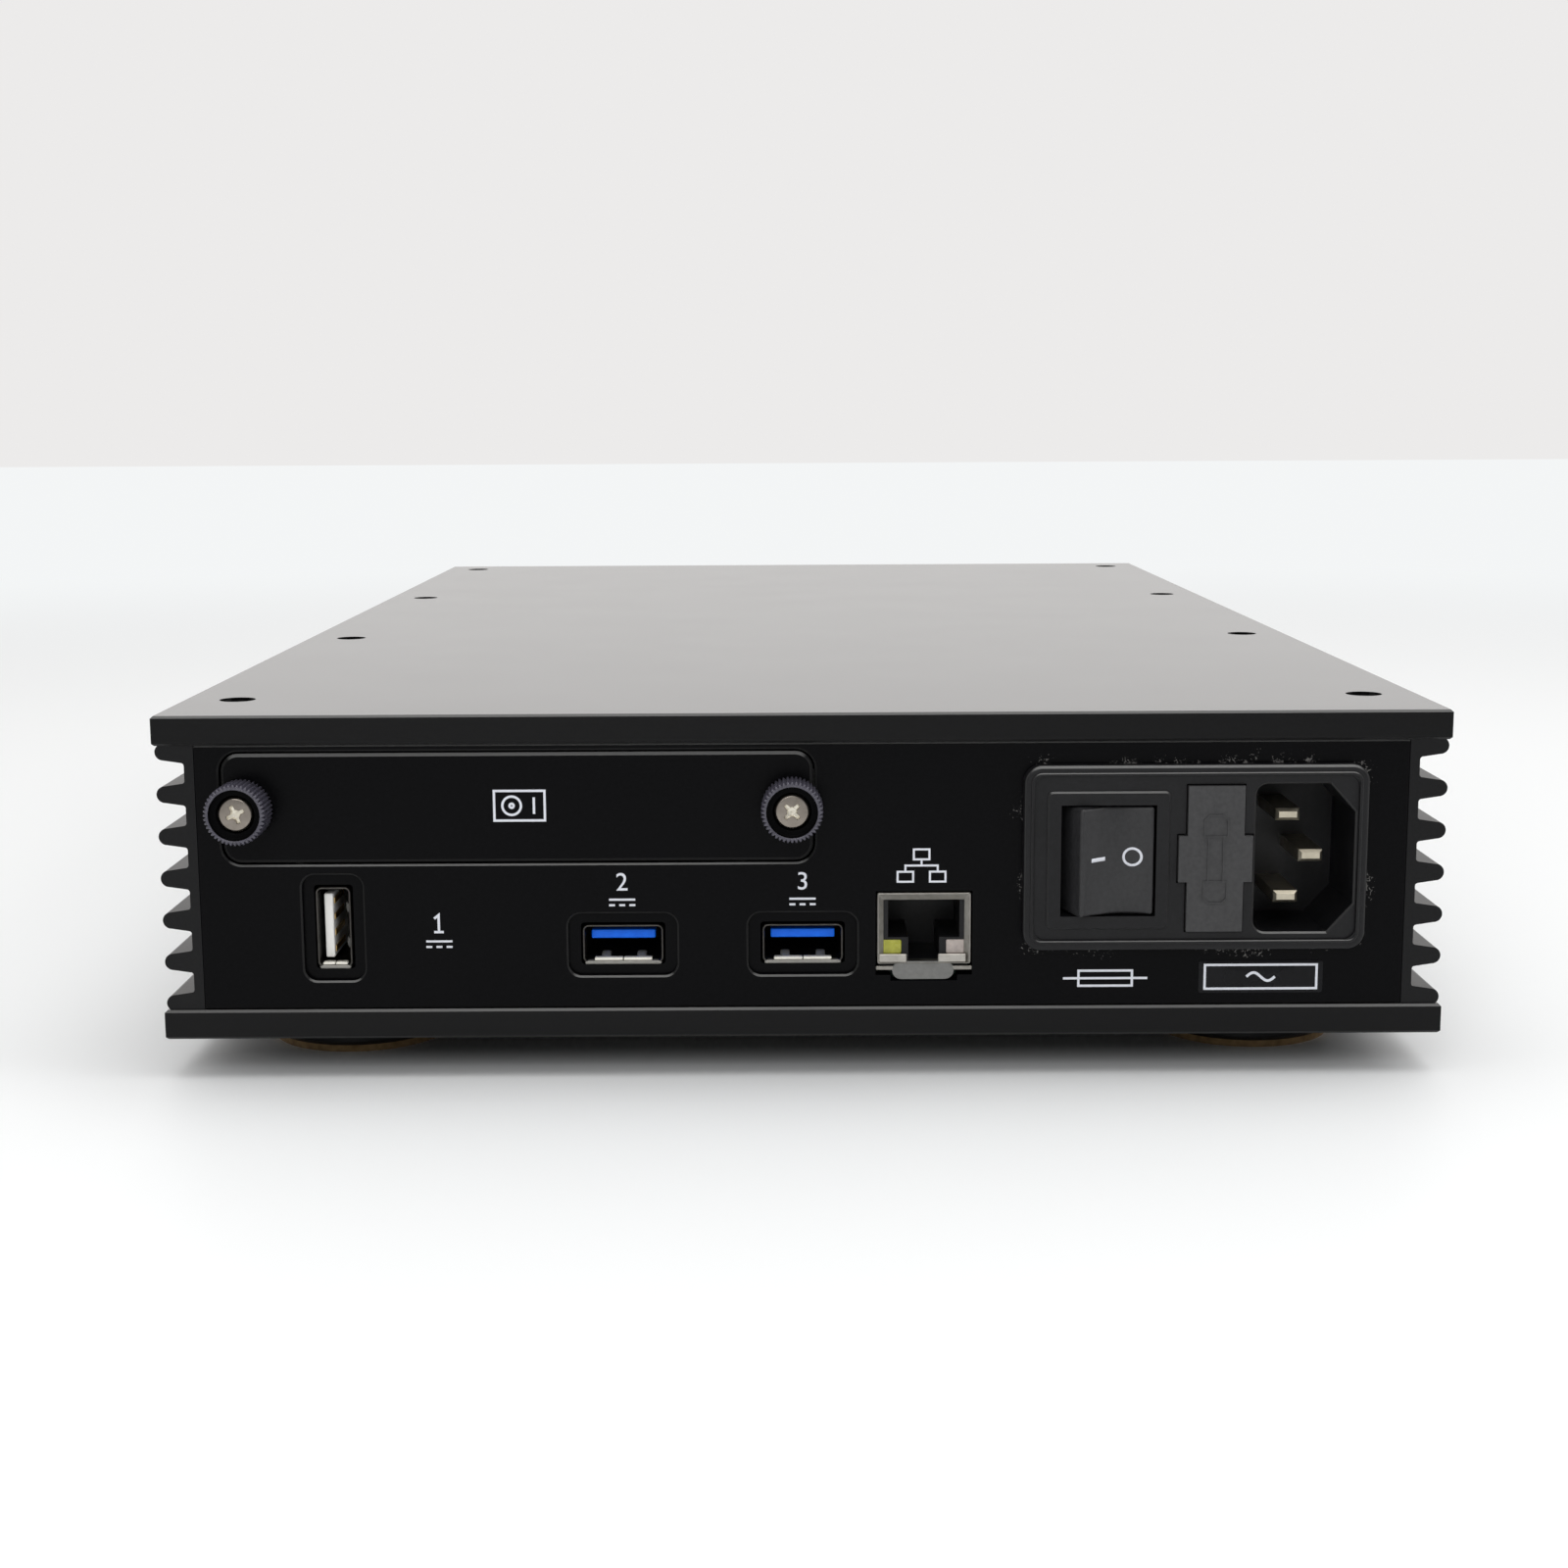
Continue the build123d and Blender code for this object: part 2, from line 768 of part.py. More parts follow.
def drive_bay():
    """The open-topped cage round the tray, with threaded ears for the thumbscrews."""
    left, right = door_mid_x - bay_half, door_mid_x + bay_half
    high = bay_floor_top + bay_wall_height
    end = bay_front + bay_sheet
    bay = block(left, right, bay_rear, end, bay_floor_low, bay_floor_top)
    for x in (left, right - bay_sheet):
        bay += block(x, x + bay_sheet, bay_rear, end, bay_floor_top, high)
    bay += block(left, right, bay_front, end, bay_floor_top, high)
    for x, wall in zip(thumb_xs, (left, right)):
        side = -1 if x < door_mid_x else 1
        x0, x1 = sorted((x + side * ear_margin, wall))
        ear_back = ear_face + ear_thick
        bay += block(x0, x1, ear_face, ear_back, thumb_z - ear_half_height, thumb_z + ear_half_height)
        bay -= rod_y(x, thumb_z, thumb_hole_radius, ear_face - cut_overrun, ear_back + cut_overrun)
    half = drive_plug_width / 2 - running_gap
    low = tray_top + tray_sheet + running_gap
    plug_high = low + drive_plug_height - 2 * running_gap
    return bay - block(
        door_mid_x - half, door_mid_x + half, bay_front - cut_overrun, end + cut_overrun, low, plug_high
    )


def bay_posts():
    """Turned posts from the base plate up to the bay's floor, threaded at the foot."""
    posts, screws = [], []
    for x, y in post_places:
        post = rod_z(x, y, post_radius, base_top, bay_floor_low)
        tap = standoff_screw_radius + seat_gap
        posts.append(post - rod_z(x, y, tap, base_top - cut_overrun, base_top + screw_reach))
        screws.append(rod_z(x, y, standoff_screw_radius, base_low + plate_chamfer, base_top + screw_reach))
    return posts, screws


def thumbscrew(x):
    """A straight-knurled cap with a dished face, and the steel screw that it turns."""
    points = []
    for tooth in range(cap_teeth):
        for part, radius in ((0, cap_radius), (1, cap_radius - cap_tooth_depth)):
            angle = (2 * tooth + part) * pi / cap_teeth
            points.append((x + radius * cos(angle), thumb_z + radius * sin(angle)))
    back = panel_face - face_gap
    front = back - cap_length
    cap = prism_y(make_face(Polyline(*points, close=True)), front, back)
    blank = rod_y(x, thumb_z, cap_radius + seat_gap, front, back)
    cap &= chamfer(blank.edges().filter_by(GeomType.CIRCLE), edge_break + seat_gap)
    dish_floor = front + cap_dish_depth
    cap -= rod_y(x, thumb_z, cap_radius - cap_tooth_depth - cap_rim, front - cut_overrun, dish_floor)
    seat = dish_floor + cap_bore_depth
    cap -= rod_y(x, thumb_z, cap_bore_radius, dish_floor - cut_overrun, seat)
    cap -= rod_y(x, thumb_z, thumb_shank_radius + seat_gap, seat - cut_overrun, back + cut_overrun)
    head_face = seat - thumb_head_height
    screw = rod_y(x, thumb_z, thumb_head_radius, head_face, seat)
    screw += rod_y(x, thumb_z, thumb_shank_radius, seat, ear_face + thumb_engage)
    span, width = thumb_cross_span / 2, thumb_cross_width / 2
    y0, y1 = head_face - cut_overrun, head_face + thumb_cross_depth
    screw -= block(x - span, x + span, y0, y1, thumb_z - width, thumb_z + width)
    screw -= block(x - width, x + width, y0, y1, thumb_z - span, thumb_z + span)
    return cap, screw


def thumb_clip(x):
    """The ring on the shank that keeps the loosened screw in the door."""
    start = ear_face - running_gap - face_gap - clip_thick
    ring = rod_y(x, thumb_z, clip_radius, start, start + clip_thick)
    hole = thumb_shank_radius + seat_gap
    return ring - rod_y(x, thumb_z, hole, start - cut_overrun, start + clip_thick + cut_overrun)


def usb_socket(x, z, width, height, turned):
    """A socket's shell, plastic core with its tongue, and contacts; turned stands it on end."""
    start = panel_face + shell_inset
    end = start + shell_length
    half_w, half_h = width / 2, height / 2
    shell = prism_y(slab(-half_w, half_w, -half_h, half_h, shell_corner), start, end)
    inner_w, inner_h = half_w - shell_wall, half_h - shell_wall
    shell -= block(-inner_w, inner_w, start - cut_overrun, end - shell_wall, -inner_h, inner_h)
    core_end = end - shell_wall
    core = block(-inner_w, inner_w, core_end - tongue_base, core_end, -inner_h, inner_h)
    tongue_w = inner_w - tongue_side_gap
    tongue_high = inner_h - tongue_drop
    tongue_low = tongue_high - tongue_thick
    tongue_start = start + tongue_setback
    core += block(-tongue_w, tongue_w, tongue_start, core_end - tongue_base, tongue_low, tongue_high)
    contacts = []
    step = 2 * tongue_w / contact_count
    for number in range(contact_count):
        left = -tongue_w + (number + 1 / 2) * step - contact_width / 2
        y0, y1 = tongue_start + contact_setback, core_end - tongue_base
        contacts.append(block(left, left + contact_width, y0, y1, tongue_low - contact_thick, tongue_low))
    for side in both_sides:
        middle = side * spring_spread
        y0 = start + spring_setback
        shell += block(
            middle - spring_width / 2, middle + spring_width / 2, y0, y0 + spring_length,
            -inner_h, -inner_h + spring_thick,
        )
    place = Pos(x, 0, z) * Rot(0, -90 if turned else 0, 0)
    return place * shell, place * core, [place * contact for contact in contacts]


def socket_foot(x, z, half_w, half_h):
    """The plastic foot that carries a socket's shell on the mainboard."""
    start = panel_back + board_rear_gap
    end = panel_face + shell_inset + shell_length
    return block(x - half_w, x + half_w, start, end, board_top, z - half_h)


def network_jack():
    """Shield, black insert with its latch slot, contacts and two indicator lights."""
    low, high = board_top, lid_top - jack_top_drop
    front, back = panel_face - jack_proud, panel_face - jack_proud + jack_depth
    shield = block(jack_left, jack_right, front, back, low, high)
    inner = (jack_left + jack_wall, jack_right - jack_wall)
    inner_low, inner_high = low + jack_wall, high - jack_wall
    shield -= block(*inner, front - cut_overrun, back - jack_wall, inner_low, inner_high)
    middle = (jack_left + jack_right) / 2
    tab = jack_tab_width / 2
    shield += block(middle - tab, middle + tab, front, front + jack_tab_thick, low - jack_tab_reach, low)
    insert = block(*inner, front + jack_funnel, back - jack_wall, inner_low, inner_high)
    half = jack_cavity_width / 2
    cavity_low, cavity_high = lid_top - jack_cavity_bottom_drop, lid_top - jack_cavity_top_drop
    cavity_end = front + jack_cavity_depth
    insert -= block(middle - half, middle + half, front, cavity_end, cavity_low, cavity_high)
    latch = jack_latch_width / 2
    insert -= block(middle - latch, middle + latch, front, cavity_end, lid_top - jack_latch_drop, cavity_low)
    lights = []
    light_high = cavity_low - jack_wall
    for side in both_sides:
        outer = (jack_right - jack_left) / 2 - jack_light_inset
        x0, x1 = sorted((middle + side * outer, middle + side * (outer - jack_light_width)))
        z0 = light_high - jack_light_height
        light = block(x0, x1, front + jack_funnel, front + jack_light_depth, z0, light_high)
        insert -= light
        lights.append(light)
    contacts = []
    for number in range(jack_contact_count):
        x = middle + (number - (jack_contact_count - 1) / 2) * jack_contact_pitch
        y0 = front + jack_contact_setback
        contacts.append(
            block(
                x - jack_contact_width / 2, x + jack_contact_width / 2, y0, y0 + jack_contact_length,
                cavity_high - jack_contact_thick, cavity_high,
            )
        )
    return shield, insert, contacts, lights


def inlet_body_limits():
    low = lid_top - inlet_top_drop - inlet_height
    return (
        inlet_left + inlet_body_inset,
        inlet_right - inlet_body_inset,
        low + inlet_body_inset,
        lid_top - inlet_top_drop - inlet_body_inset,
    )


def recess_outline():
    """The inlet's mouth: two round corners on the left, two chamfered on the right."""
    high = lid_top - recess_top_drop
    low = high - recess_height
    points = [
        (recess_left, low),
        (recess_right - recess_chamfer_x, low),
        (recess_right, low + recess_chamfer_z),
        (recess_right, high - recess_chamfer_z),
        (recess_right - recess_chamfer_x, high),
        (recess_left, high),
    ]
    mouth = make_face(Polyline(*points, close=True))
    left = [v for v in mouth.vertices() if abs(v.X - recess_left) < seat_gap]
    return fillet(left, recess_corner)


def inlet_pins():
    """Three flat pins that run through the module's floor to solder tabs at its back."""
    earth_x = (recess_left + recess_right) / 2 + pin_earth_shift
    middle_z = lid_top - recess_top_drop - recess_height / 2
    places = [(earth_x - pin_earth_offset, middle_z + side * pin_spacing / 2) for side in both_sides]
    places.append((earth_x, middle_z))
    pins = []
    tip = flange_face + pin_tip_setback
    end = panel_face + inlet_body_depth + terminal_length
    for x, z in places:
        pin = block(x - pin_width / 2, x + pin_width / 2, tip, end, z - pin_thick / 2, z + pin_thick / 2)
        pins.append(chamfer(pin.faces().sort_by(Axis.Y)[0].edges(), pin_tip_taper))
    return pins, places


def rocker_limits():
    middle_x = (rocker_left + rocker_right) / 2
    middle_z = lid_top - rocker_top_drop - rocker_height / 2
    return middle_x, middle_z, flange_face + rocker_pivot_depth


def rocker():
    """A rocker with a shallow V face and tapered ends, drawn level, then tipped to its off side."""
    middle_x, middle_z, pivot_y = rocker_limits()
    half = (rocker_right - rocker_left) / 2
    rise = half * sin(rocker_slope_degrees * pi / 180) / cos(rocker_slope_degrees * pi / 180)
    valley = -rocker_pivot_depth + rocker_face_depth
    back = rocker_half_depth
    points = [
        (0, valley),
        (half - rocker_end_taper, valley - rise),
        (half, 0),
        (half - rocker_end_taper, back),
        (-half + rocker_end_taper, back),
        (-half, 0),
        (-half + rocker_end_taper, valley - rise),
    ]
    outline = make_face(Polyline(*points, close=True))
    body = extrude(outline, rocker_height / 2, both=True)
    body = fillet(body.edges(), rocker_edge_radius)
    reach = rocker_height / 2 + rocker_trunnion_length
    body += Cylinder(rocker_trunnion_radius, 2 * reach)
    return Pos(middle_x, pivot_y, middle_z) * Rot(0, 0, rocker_slope_degrees) * body


def rocker_well():
    """The space in the module for the rocker's whole swing, with holes for its trunnions."""
    middle_x, middle_z, pivot_y = rocker_limits()
    half = (rocker_right - rocker_left) / 2 + running_gap
    half_z = rocker_height / 2 + running_gap
    end = flange_face + rocker_well_depth
    start = flange_face - bezel_proud - cut_overrun
    well = block(middle_x - half, middle_x + half, start, end, middle_z - half_z, middle_z + half_z)
    reach = rocker_height / 2 + rocker_trunnion_length + running_gap
    hole = rocker_trunnion_radius + rocker_trunnion_gap
    return well + rod_z(middle_x, pivot_y, hole, middle_z - reach, middle_z + reach)


def drawer_outline(gap):
    """The fuse drawer's face seen from behind: an upright oblong with a grip tab on each side."""
    high = lid_top - drawer_top_drop
    low = high - drawer_height
    tab_high = lid_top - drawer_tab_top_drop
    tab_low = tab_high - drawer_tab_height
    body = Pos((drawer_left + drawer_right) / 2, (low + high) / 2) * Rectangle(
        drawer_right - drawer_left + 2 * gap, drawer_height + 2 * gap
    )
    tab_width = drawer_right - drawer_left + 2 * (drawer_tab_reach + gap)
    tabs = Pos((drawer_left + drawer_right) / 2, (tab_low + tab_high) / 2) * Rectangle(
        tab_width, drawer_tab_height + 2 * gap
    )
    return body, tabs


def fuse_place():
    x = (drawer_left + drawer_right) / 2
    z = lid_top - drawer_top_drop - drawer_height / 2
    y = flange_face + drawer_depth - fuse_setback
    return x, y, z


def fuse_drawer():
    """The drawer with its grip tabs, a cradle for the fuse and a raised fuse sign on its face."""
    face = flange_face - drawer_proud
    body, tabs = drawer_outline(0)
    drawer = prism_y(body, face, flange_face + drawer_depth)
    drawer += prism_y(tabs, face, flange_face + drawer_tab_depth)
    x, y, z = fuse_place()
    half = fuse_length / 2 + fuse_slot_gap
    drawer -= rod_z(x, y, fuse_radius + fuse_slot_gap, z - half, z + half)
    end = flange_face + drawer_depth + cut_overrun
    slot = fuse_radius + fuse_slot_gap
    drawer -= block(x - slot, x + slot, y, end, z - half, z + half)
    return drawer + fuse_sign(face)


def fuse_sign_cap():
    """The outline of one end cap, its two outer corners cut off."""
    half, top = fuse_outline_end / 2, fuse_outline_cap
    points = [
        (-half, 0),
        (half, 0),
        (half, top - fuse_outline_corner),
        (half - fuse_outline_corner, top),
        (-half + fuse_outline_corner, top),
        (-half, top - fuse_outline_corner),
    ]
    cap = make_face(Polyline(*points, close=True))
    return cap - offset(cap, -fuse_outline_width)


def fuse_sign(face):
    """Raised lines: two end caps joined by a narrower tube."""
    x, y, z = fuse_place()
    length = fuse_outline_length - 2 * fuse_outline_cap
    sign = Pos(0, length / 2) * fuse_sign_cap()
    sign += Rot(0, 0, 180) * Pos(0, length / 2) * fuse_sign_cap()
    tube = Rectangle(fuse_outline_tube + 2 * fuse_outline_width, length)
    sign += tube - Rectangle(fuse_outline_tube, length)
    return prism_y(Pos(x, z) * sign, face - fuse_outline_raise, face)


def fuse():
    """A glass tube between two metal caps."""
    x, y, z = fuse_place()
    half = fuse_length / 2
    glass = rod_z(x, y, fuse_radius - fuse_cap_wall, z - half + fuse_cap_wall, z + half - fuse_cap_wall)
    caps = []
    for side in both_sides:
        low, high = sorted((z + side * half, z + side * (half - fuse_cap_length)))
        caps.append(rod_z(x, y, fuse_radius, low, high) - glass)
    return glass, caps


def inlet_housing(pins):
    """The moulded module: rimmed flange, body, rocker well and bezel, drawer pocket and inlet mouth."""
    high = lid_top - inlet_top_drop
    low = high - inlet_height
    housing = prism_y(slab(inlet_left, inlet_right, low, high, inlet_corner), flange_face, panel_face)
    housing = fillet(housing.faces().sort_by(Axis.Y)[0].edges(), flange_edge_radius)
    left, right, body_low, body_high = inlet_body_limits()
    housing += block(left, right, panel_face, panel_face + inlet_body_depth, body_low, body_high)
    left, right = inlet_left + flange_rim, inlet_right - flange_rim
    field = slab(left, right, low + flange_rim, high - flange_rim, inlet_corner - flange_rim / 2)
    housing -= prism_y(field, flange_face - cut_overrun, flange_face + rim_step)
    middle_x, middle_z, pivot_y = rocker_limits()
    bezel_x = (rocker_right - rocker_left) / 2 + bezel_margin
    bezel_z = rocker_height / 2 + bezel_margin
    bezel = slab_at(middle_x, middle_z, 2 * bezel_x, 2 * bezel_z, bezel_corner)
    bezel = prism_y(bezel, flange_face, flange_face + rim_step)
    housing += chamfer(bezel.faces().sort_by(Axis.Y)[0].edges(), edge_break)
    housing -= rocker_well()
    body, tabs = drawer_outline(drawer_gap)
    drawer_end = flange_face + drawer_depth + running_gap
    housing -= prism_y(body, flange_face - cut_overrun, drawer_end)
    housing -= prism_y(tabs, flange_face - cut_overrun, flange_face + drawer_tab_depth + running_gap)
    housing -= prism_y(recess_outline(), flange_face - cut_overrun, flange_face + recess_depth)
    housing -= flare_y(recess_outline(), flange_face + rim_step)
    for pin in pins:
        housing -= pin
    return housing


def window_limits():
    return -window_width / 2, window_width / 2, mid_height - window_height / 2, mid_height + window_height / 2


def front_buttons():
    """Round push buttons, each with a flange behind the panel."""
    places = [(power_x, power_radius)] + [(x, control_radius) for x in control_xs]
    buttons = []
    for x, radius in places:
        flange_front = front_back - face_gap
        flange_rear = flange_front - button_flange_thick
        button = rod_y(x, mid_height, radius, flange_front, front_face + button_proud)
        flange = rod_y(x, mid_height, radius + button_flange_margin, flange_rear, flange_front)
        buttons.append(button + flange)
    return buttons


def control_board_face():
    return front_back - face_gap - button_flange_thick - button_travel - face_gap - switch_height


def boss_places():
    return [(sx * boss_reach_x, mid_height + sz * boss_reach_z) for sx in both_sides for sz in both_sides]


def front_panel():
    panel = block(-panel_half_width, panel_half_width, front_back, front_face, base_top, lid_low)
    x0, x1, z0, z1 = window_limits()
    panel -= prism_y(slab(x0, x1, z0, z1, window_corner), front_face - window_thick, front_face + cut_overrun)
    m = display_margin
    panel -= block(x0 + m, x1 - m, front_back - cut_overrun, front_face, z0 + m, z1 - m)
    for x, radius in [(power_x, power_radius)] + [(x, control_radius) for x in control_xs]:
        hole = radius + running_gap
        panel -= rod_y(x, mid_height, hole, front_back - cut_overrun, front_face + cut_overrun)
    for x, z in boss_places():
        panel += rod_y(x, z, boss_radius, control_board_face(), front_back)
        hole = board_screw_shank_radius + seat_gap
        seat = control_board_face()
        panel -= rod_y(x, z, hole, seat - cut_overrun, seat + board_screw_reach)
    return panel


def display():
    x0, x1, z0, z1 = window_limits()
    window = prism_y(slab(x0, x1, z0, z1, window_corner), front_face - window_thick, front_face)
    m = display_margin + running_gap
    panel = block(x0 + m, x1 - m, control_board_face(), front_face - window_thick, z0 + m, z1 - m)
    return window, panel


def control_board():
    end = control_board_face()
    half = control_board_height / 2
    board = block(
        -control_board_half, control_board_half, end - control_board_thick, end,
        mid_height - half, mid_height + half,
    )
    screws = []
    for x, z in boss_places():
        start = end - control_board_thick
        hole = board_screw_shank_radius + seat_gap
        board -= rod_y(x, z, hole, start - cut_overrun, end + cut_overrun)
        screw = rod_y(x, z, board_screw_shank_radius, start, end + board_screw_reach)
        screws.append(screw + rod_y(x, z, board_screw_head_radius, start - low_head_height, start))
    switches = []
    for x in (power_x,) + control_xs:
        half = switch_half_width
        low, high = mid_height - half, mid_height + half
        switches.append(block(x - half, x + half, end, end + switch_height, low, high))
    return board, screws, switches


def flat_board(left, right, rear, front, places):
    """A circuit board on four standoffs, with a screw down into each."""
    board = block(left, right, rear, front, board_low, board_top)
    standoffs, screws = [], []
    for x, y in places:
        hole = standoff_screw_radius + seat_gap
        board -= rod_z(x, y, hole, board_low - cut_overrun, board_top + cut_overrun)
        standoff = rod_z(x, y, standoff_radius, base_top, board_low)
        standoffs.append(standoff - rod_z(x, y, hole, base_top - cut_overrun, board_low + cut_overrun))
        screw = rod_z(x, y, standoff_screw_radius, base_low + plate_chamfer, board_top)
        screws.append(screw + rod_z(x, y, board_screw_head_radius, board_top, board_top + low_head_height))
    return board, standoffs, screws


def mainboard():
    board, standoffs, screws = flat_board(board_left, board_right, board_rear, board_front, main_places)
    for x, y in post_places:
        board -= rod_z(x, y, post_radius + post_hole_gap, board_low - cut_overrun, board_top + cut_overrun)
    return board, standoffs, screws


def cooling():
    """Processor, the block on it, two heat pipes and the clamp that ties them to the left side."""
    half = processor_size / 2
    middle_y = panel_face + processor_forward
    chip_top = board_top + processor_height
    rear, front = middle_y - half, middle_y + half
    chip = block(processor_x - half, processor_x + half, rear, front, board_top, chip_top)
    half = heat_block_size / 2
    top = chip_top + heat_block_height
    rear, front = middle_y - half, middle_y + half
    heat_block = block(processor_x - half, processor_x + half, rear, front, chip_top, top)
    pipe_z = chip_top + pipe_rise
    pipes = []
    clamp_rear = middle_y + half
    clamp_inner = -web_inner_x + pipe_wall_gap + clamp_wall + (pipe_count - 1) * 2 * pipe_radius
    clamp = block(
        -web_inner_x, clamp_inner, clamp_rear, clamp_rear + clamp_length,
        pipe_z - clamp_height / 2, pipe_z + clamp_height / 2,
    )
    for number in range(pipe_count):
        y = middle_y + (number - (pipe_count - 1) / 2) * pipe_pitch
        wall_x = -web_inner_x + pipe_wall_gap + (pipe_count - 1 - number) * 2 * (pipe_radius + face_gap)
        points = [
            (processor_x + pipe_start, y, pipe_z),
            (wall_x, y, pipe_z),
            (wall_x, middle_y + pipe_run, pipe_z),
        ]
        pipes.append(tube_along(points, pipe_bend, pipe_radius))
        bar = pipe_radius + seat_gap
        clamp -= rod_y(wall_x, pipe_z, bar, clamp_rear - cut_overrun, clamp_rear + clamp_length + cut_overrun)
        cut = Pos(processor_x, y, pipe_z) * Rot(0, 90, 0) * Cylinder(bar, heat_block_size + 2 * cut_overrun)
        heat_block -= cut
    return chip, heat_block, pipes, clamp


def memory():
    rear = panel_face + memory_forward
    half = memory_width / 2
    left, right = memory_x - half, memory_x + half
    return block(left, right, rear, rear + memory_length, board_top, board_top + memory_thick)


def supply_parts():
    """What stands on the supply board: capacitors, regulators and the mains terminal block."""
    capacitors, regulators = [], []
    for number in range(capacitor_count):
        y = supply_start + capacitor_forward + number * capacitor_pitch
        capacitors.append(rod_z(capacitor_x, y, capacitor_radius, board_top, board_top + capacitor_height))
    for number in range(regulator_count):
        y = supply_start + regulator_forward + number * regulator_pitch
        half = regulator_width / 2
        regulators.append(
            block(
                regulator_x, regulator_x + regulator_thick, y - half, y + half,
                board_top, board_top + regulator_height,
            )
        )
    rear = supply_start + terminal_strip_forward
    terminals = block(
        terminal_strip_left, terminal_strip_right, rear, rear + terminal_strip_depth,
        board_top, board_top + terminal_strip_height,
    )
    return capacitors, regulators, terminals


def transformer():
    """A ring-core transformer on a soft pad, held down by a dished plate and one bolt."""
    low = base_top + transformer_pad
    high = low + transformer_height
    x, y = transformer_x, transformer_y
    ring = rod_z(x, y, transformer_radius, low, high)
    ring = fillet(ring.edges().filter_by(GeomType.CIRCLE), transformer_round)
    ring -= rod_z(x, y, transformer_hole, low - cut_overrun, high + cut_overrun)
    bore = transformer_bolt_radius + seat_gap
    pad = rod_z(x, y, transformer_radius, base_top, low)
    pad -= rod_z(x, y, bore, base_top - cut_overrun, low + cut_overrun)
    dish_top = high + dish_thick
    dish = rod_z(x, y, dish_radius, high, dish_top)
    dish -= rod_z(x, y, bore, high - cut_overrun, dish_top + cut_overrun)
    bolt = rod_z(x, y, transformer_bolt_radius, base_low + plate_chamfer, dish_top)
    hexagon = RegularPolygon(transformer_bolt_head, 6)
    bolt += Pos(x, y, dish_top) * extrude(hexagon, transformer_bolt_head_height)
    return ring, pad, dish, bolt


def mains_leads(pin_places):
    """Three wires from the inlet's solder tabs down into the terminal block."""
    start = panel_face + inlet_body_depth + terminal_length
    end = board_top + terminal_strip_height
    leads = []
    for step, (x, z) in zip((0, 1, 0), pin_places):
        turn = start + mains_lead_run + step * mains_lead_step
        route = [(x, start, z), (x, turn, z), (x, turn, end)]
        leads.append(tube_along(route, mains_lead_bend, mains_lead_radius))
    return leads


def supply_leads():
    """Wires that arch from the supply board over to the mainboard."""
    leads = []
    for number in range(supply_lead_count):
        y = panel_face + supply_lead_forward + number * supply_lead_pitch
        x0, x1 = board_right - supply_lead_inset, supply_left + supply_lead_inset
        top = board_top + supply_lead_rise
        points = [(x0, y, board_top), (x0, y, top), (x1, y, top), (x1, y, board_top)]
        leads.append(tube_along(points, supply_lead_bend, supply_lead_radius))
    return leads


def transformer_leads():
    """Wires from the ring core's foot back to the supply board."""
    leads = []
    start = transformer_y - transformer_radius
    landing = supply_start + supply_length - 2 * standoff_edge
    top = board_top + transformer_lead_rise
    for side in both_sides:
        x = transformer_x + side * transformer_lead_pitch
        nearest = transformer_lead_pitch - transformer_lead_radius
        chord = (transformer_radius**2 - nearest**2) ** (1 / 2)
        begin = start + transformer_radius - chord
        points = [(x, begin, top), (x, landing, top), (x, landing, board_top)]
        leads.append(tube_along(points, transformer_lead_bend, transformer_lead_radius))
    return leads


def flat_lead(points, bend, width, middle_x):
    """A flat cable: a bent strip drawn in Y and Z and carried along X."""
    path = FilletPolyline(*points, radius=bend)
    strip = trace(path, ribbon_thick)
    return prism_x(strip, middle_x - width / 2, middle_x + width / 2)


def display_ribbon():
    """The ribbon from the control board's back, along the base plate, up to a header on the mainboard."""
    start = control_board_face() - control_board_thick
    header_y = board_front - ribbon_header_depth
    header_top = board_top + ribbon_header_height
    lying = base_top + ribbon_thick / 2 + seat_gap
    turn = start - ribbon_reach
    rise = board_front + ribbon_reach
    arch = header_top + ribbon_reach
    points = [
        (start, mid_height),
        (turn, mid_height),
        (turn, lying),
        (rise, lying),
        (rise, arch),
        (header_y, arch),
        (header_y, header_top),
    ]
    ribbon = flat_lead(points, ribbon_bend, ribbon_width, ribbon_x)
    half = ribbon_width / 2
    depth = ribbon_header_depth / 2
    left, right = ribbon_x - half, ribbon_x + half
    header = block(left, right, header_y - depth, header_y + depth, board_top, header_top)
    return ribbon, header


def drive_lead():
    """The flat cable from the backplane down to a header on the mainboard."""
    start = bay_front + bay_sheet + backplane_thick
    level = (bay_floor_top + door_top) / 2
    header_y = start + drive_lead_reach
    header_top = board_top + ribbon_header_height
    route = [(start, level), (header_y, level), (header_y, header_top)]
    lead = flat_lead(route, ribbon_bend, drive_lead_width, door_mid_x)
    half = drive_lead_width / 2
    depth = ribbon_header_depth / 2
    left, right = door_mid_x - half, door_mid_x + half
    return lead, block(left, right, header_y - depth, header_y + depth, board_top, header_top)


os.makedirs("parts", exist_ok=True)

lid_screws, base_screws = case_screws()
save("lid_plate", lid())
save("base_plate", base())
save("lid_screws", *lid_screws)
right_side = side_extrusion()
save("side_fins_right", right_side)
save("side_fins_left", mirror(right_side, about=Plane.YZ))
save("rear_panel", rear_panel())
save("front_panel", front_panel())

foot_bodies, foot_pads, foot_screws = feet()
save("foot_bodies", *foot_bodies)
save("foot_pads", *foot_pads)
save("base_screws", *base_screws, *foot_screws)

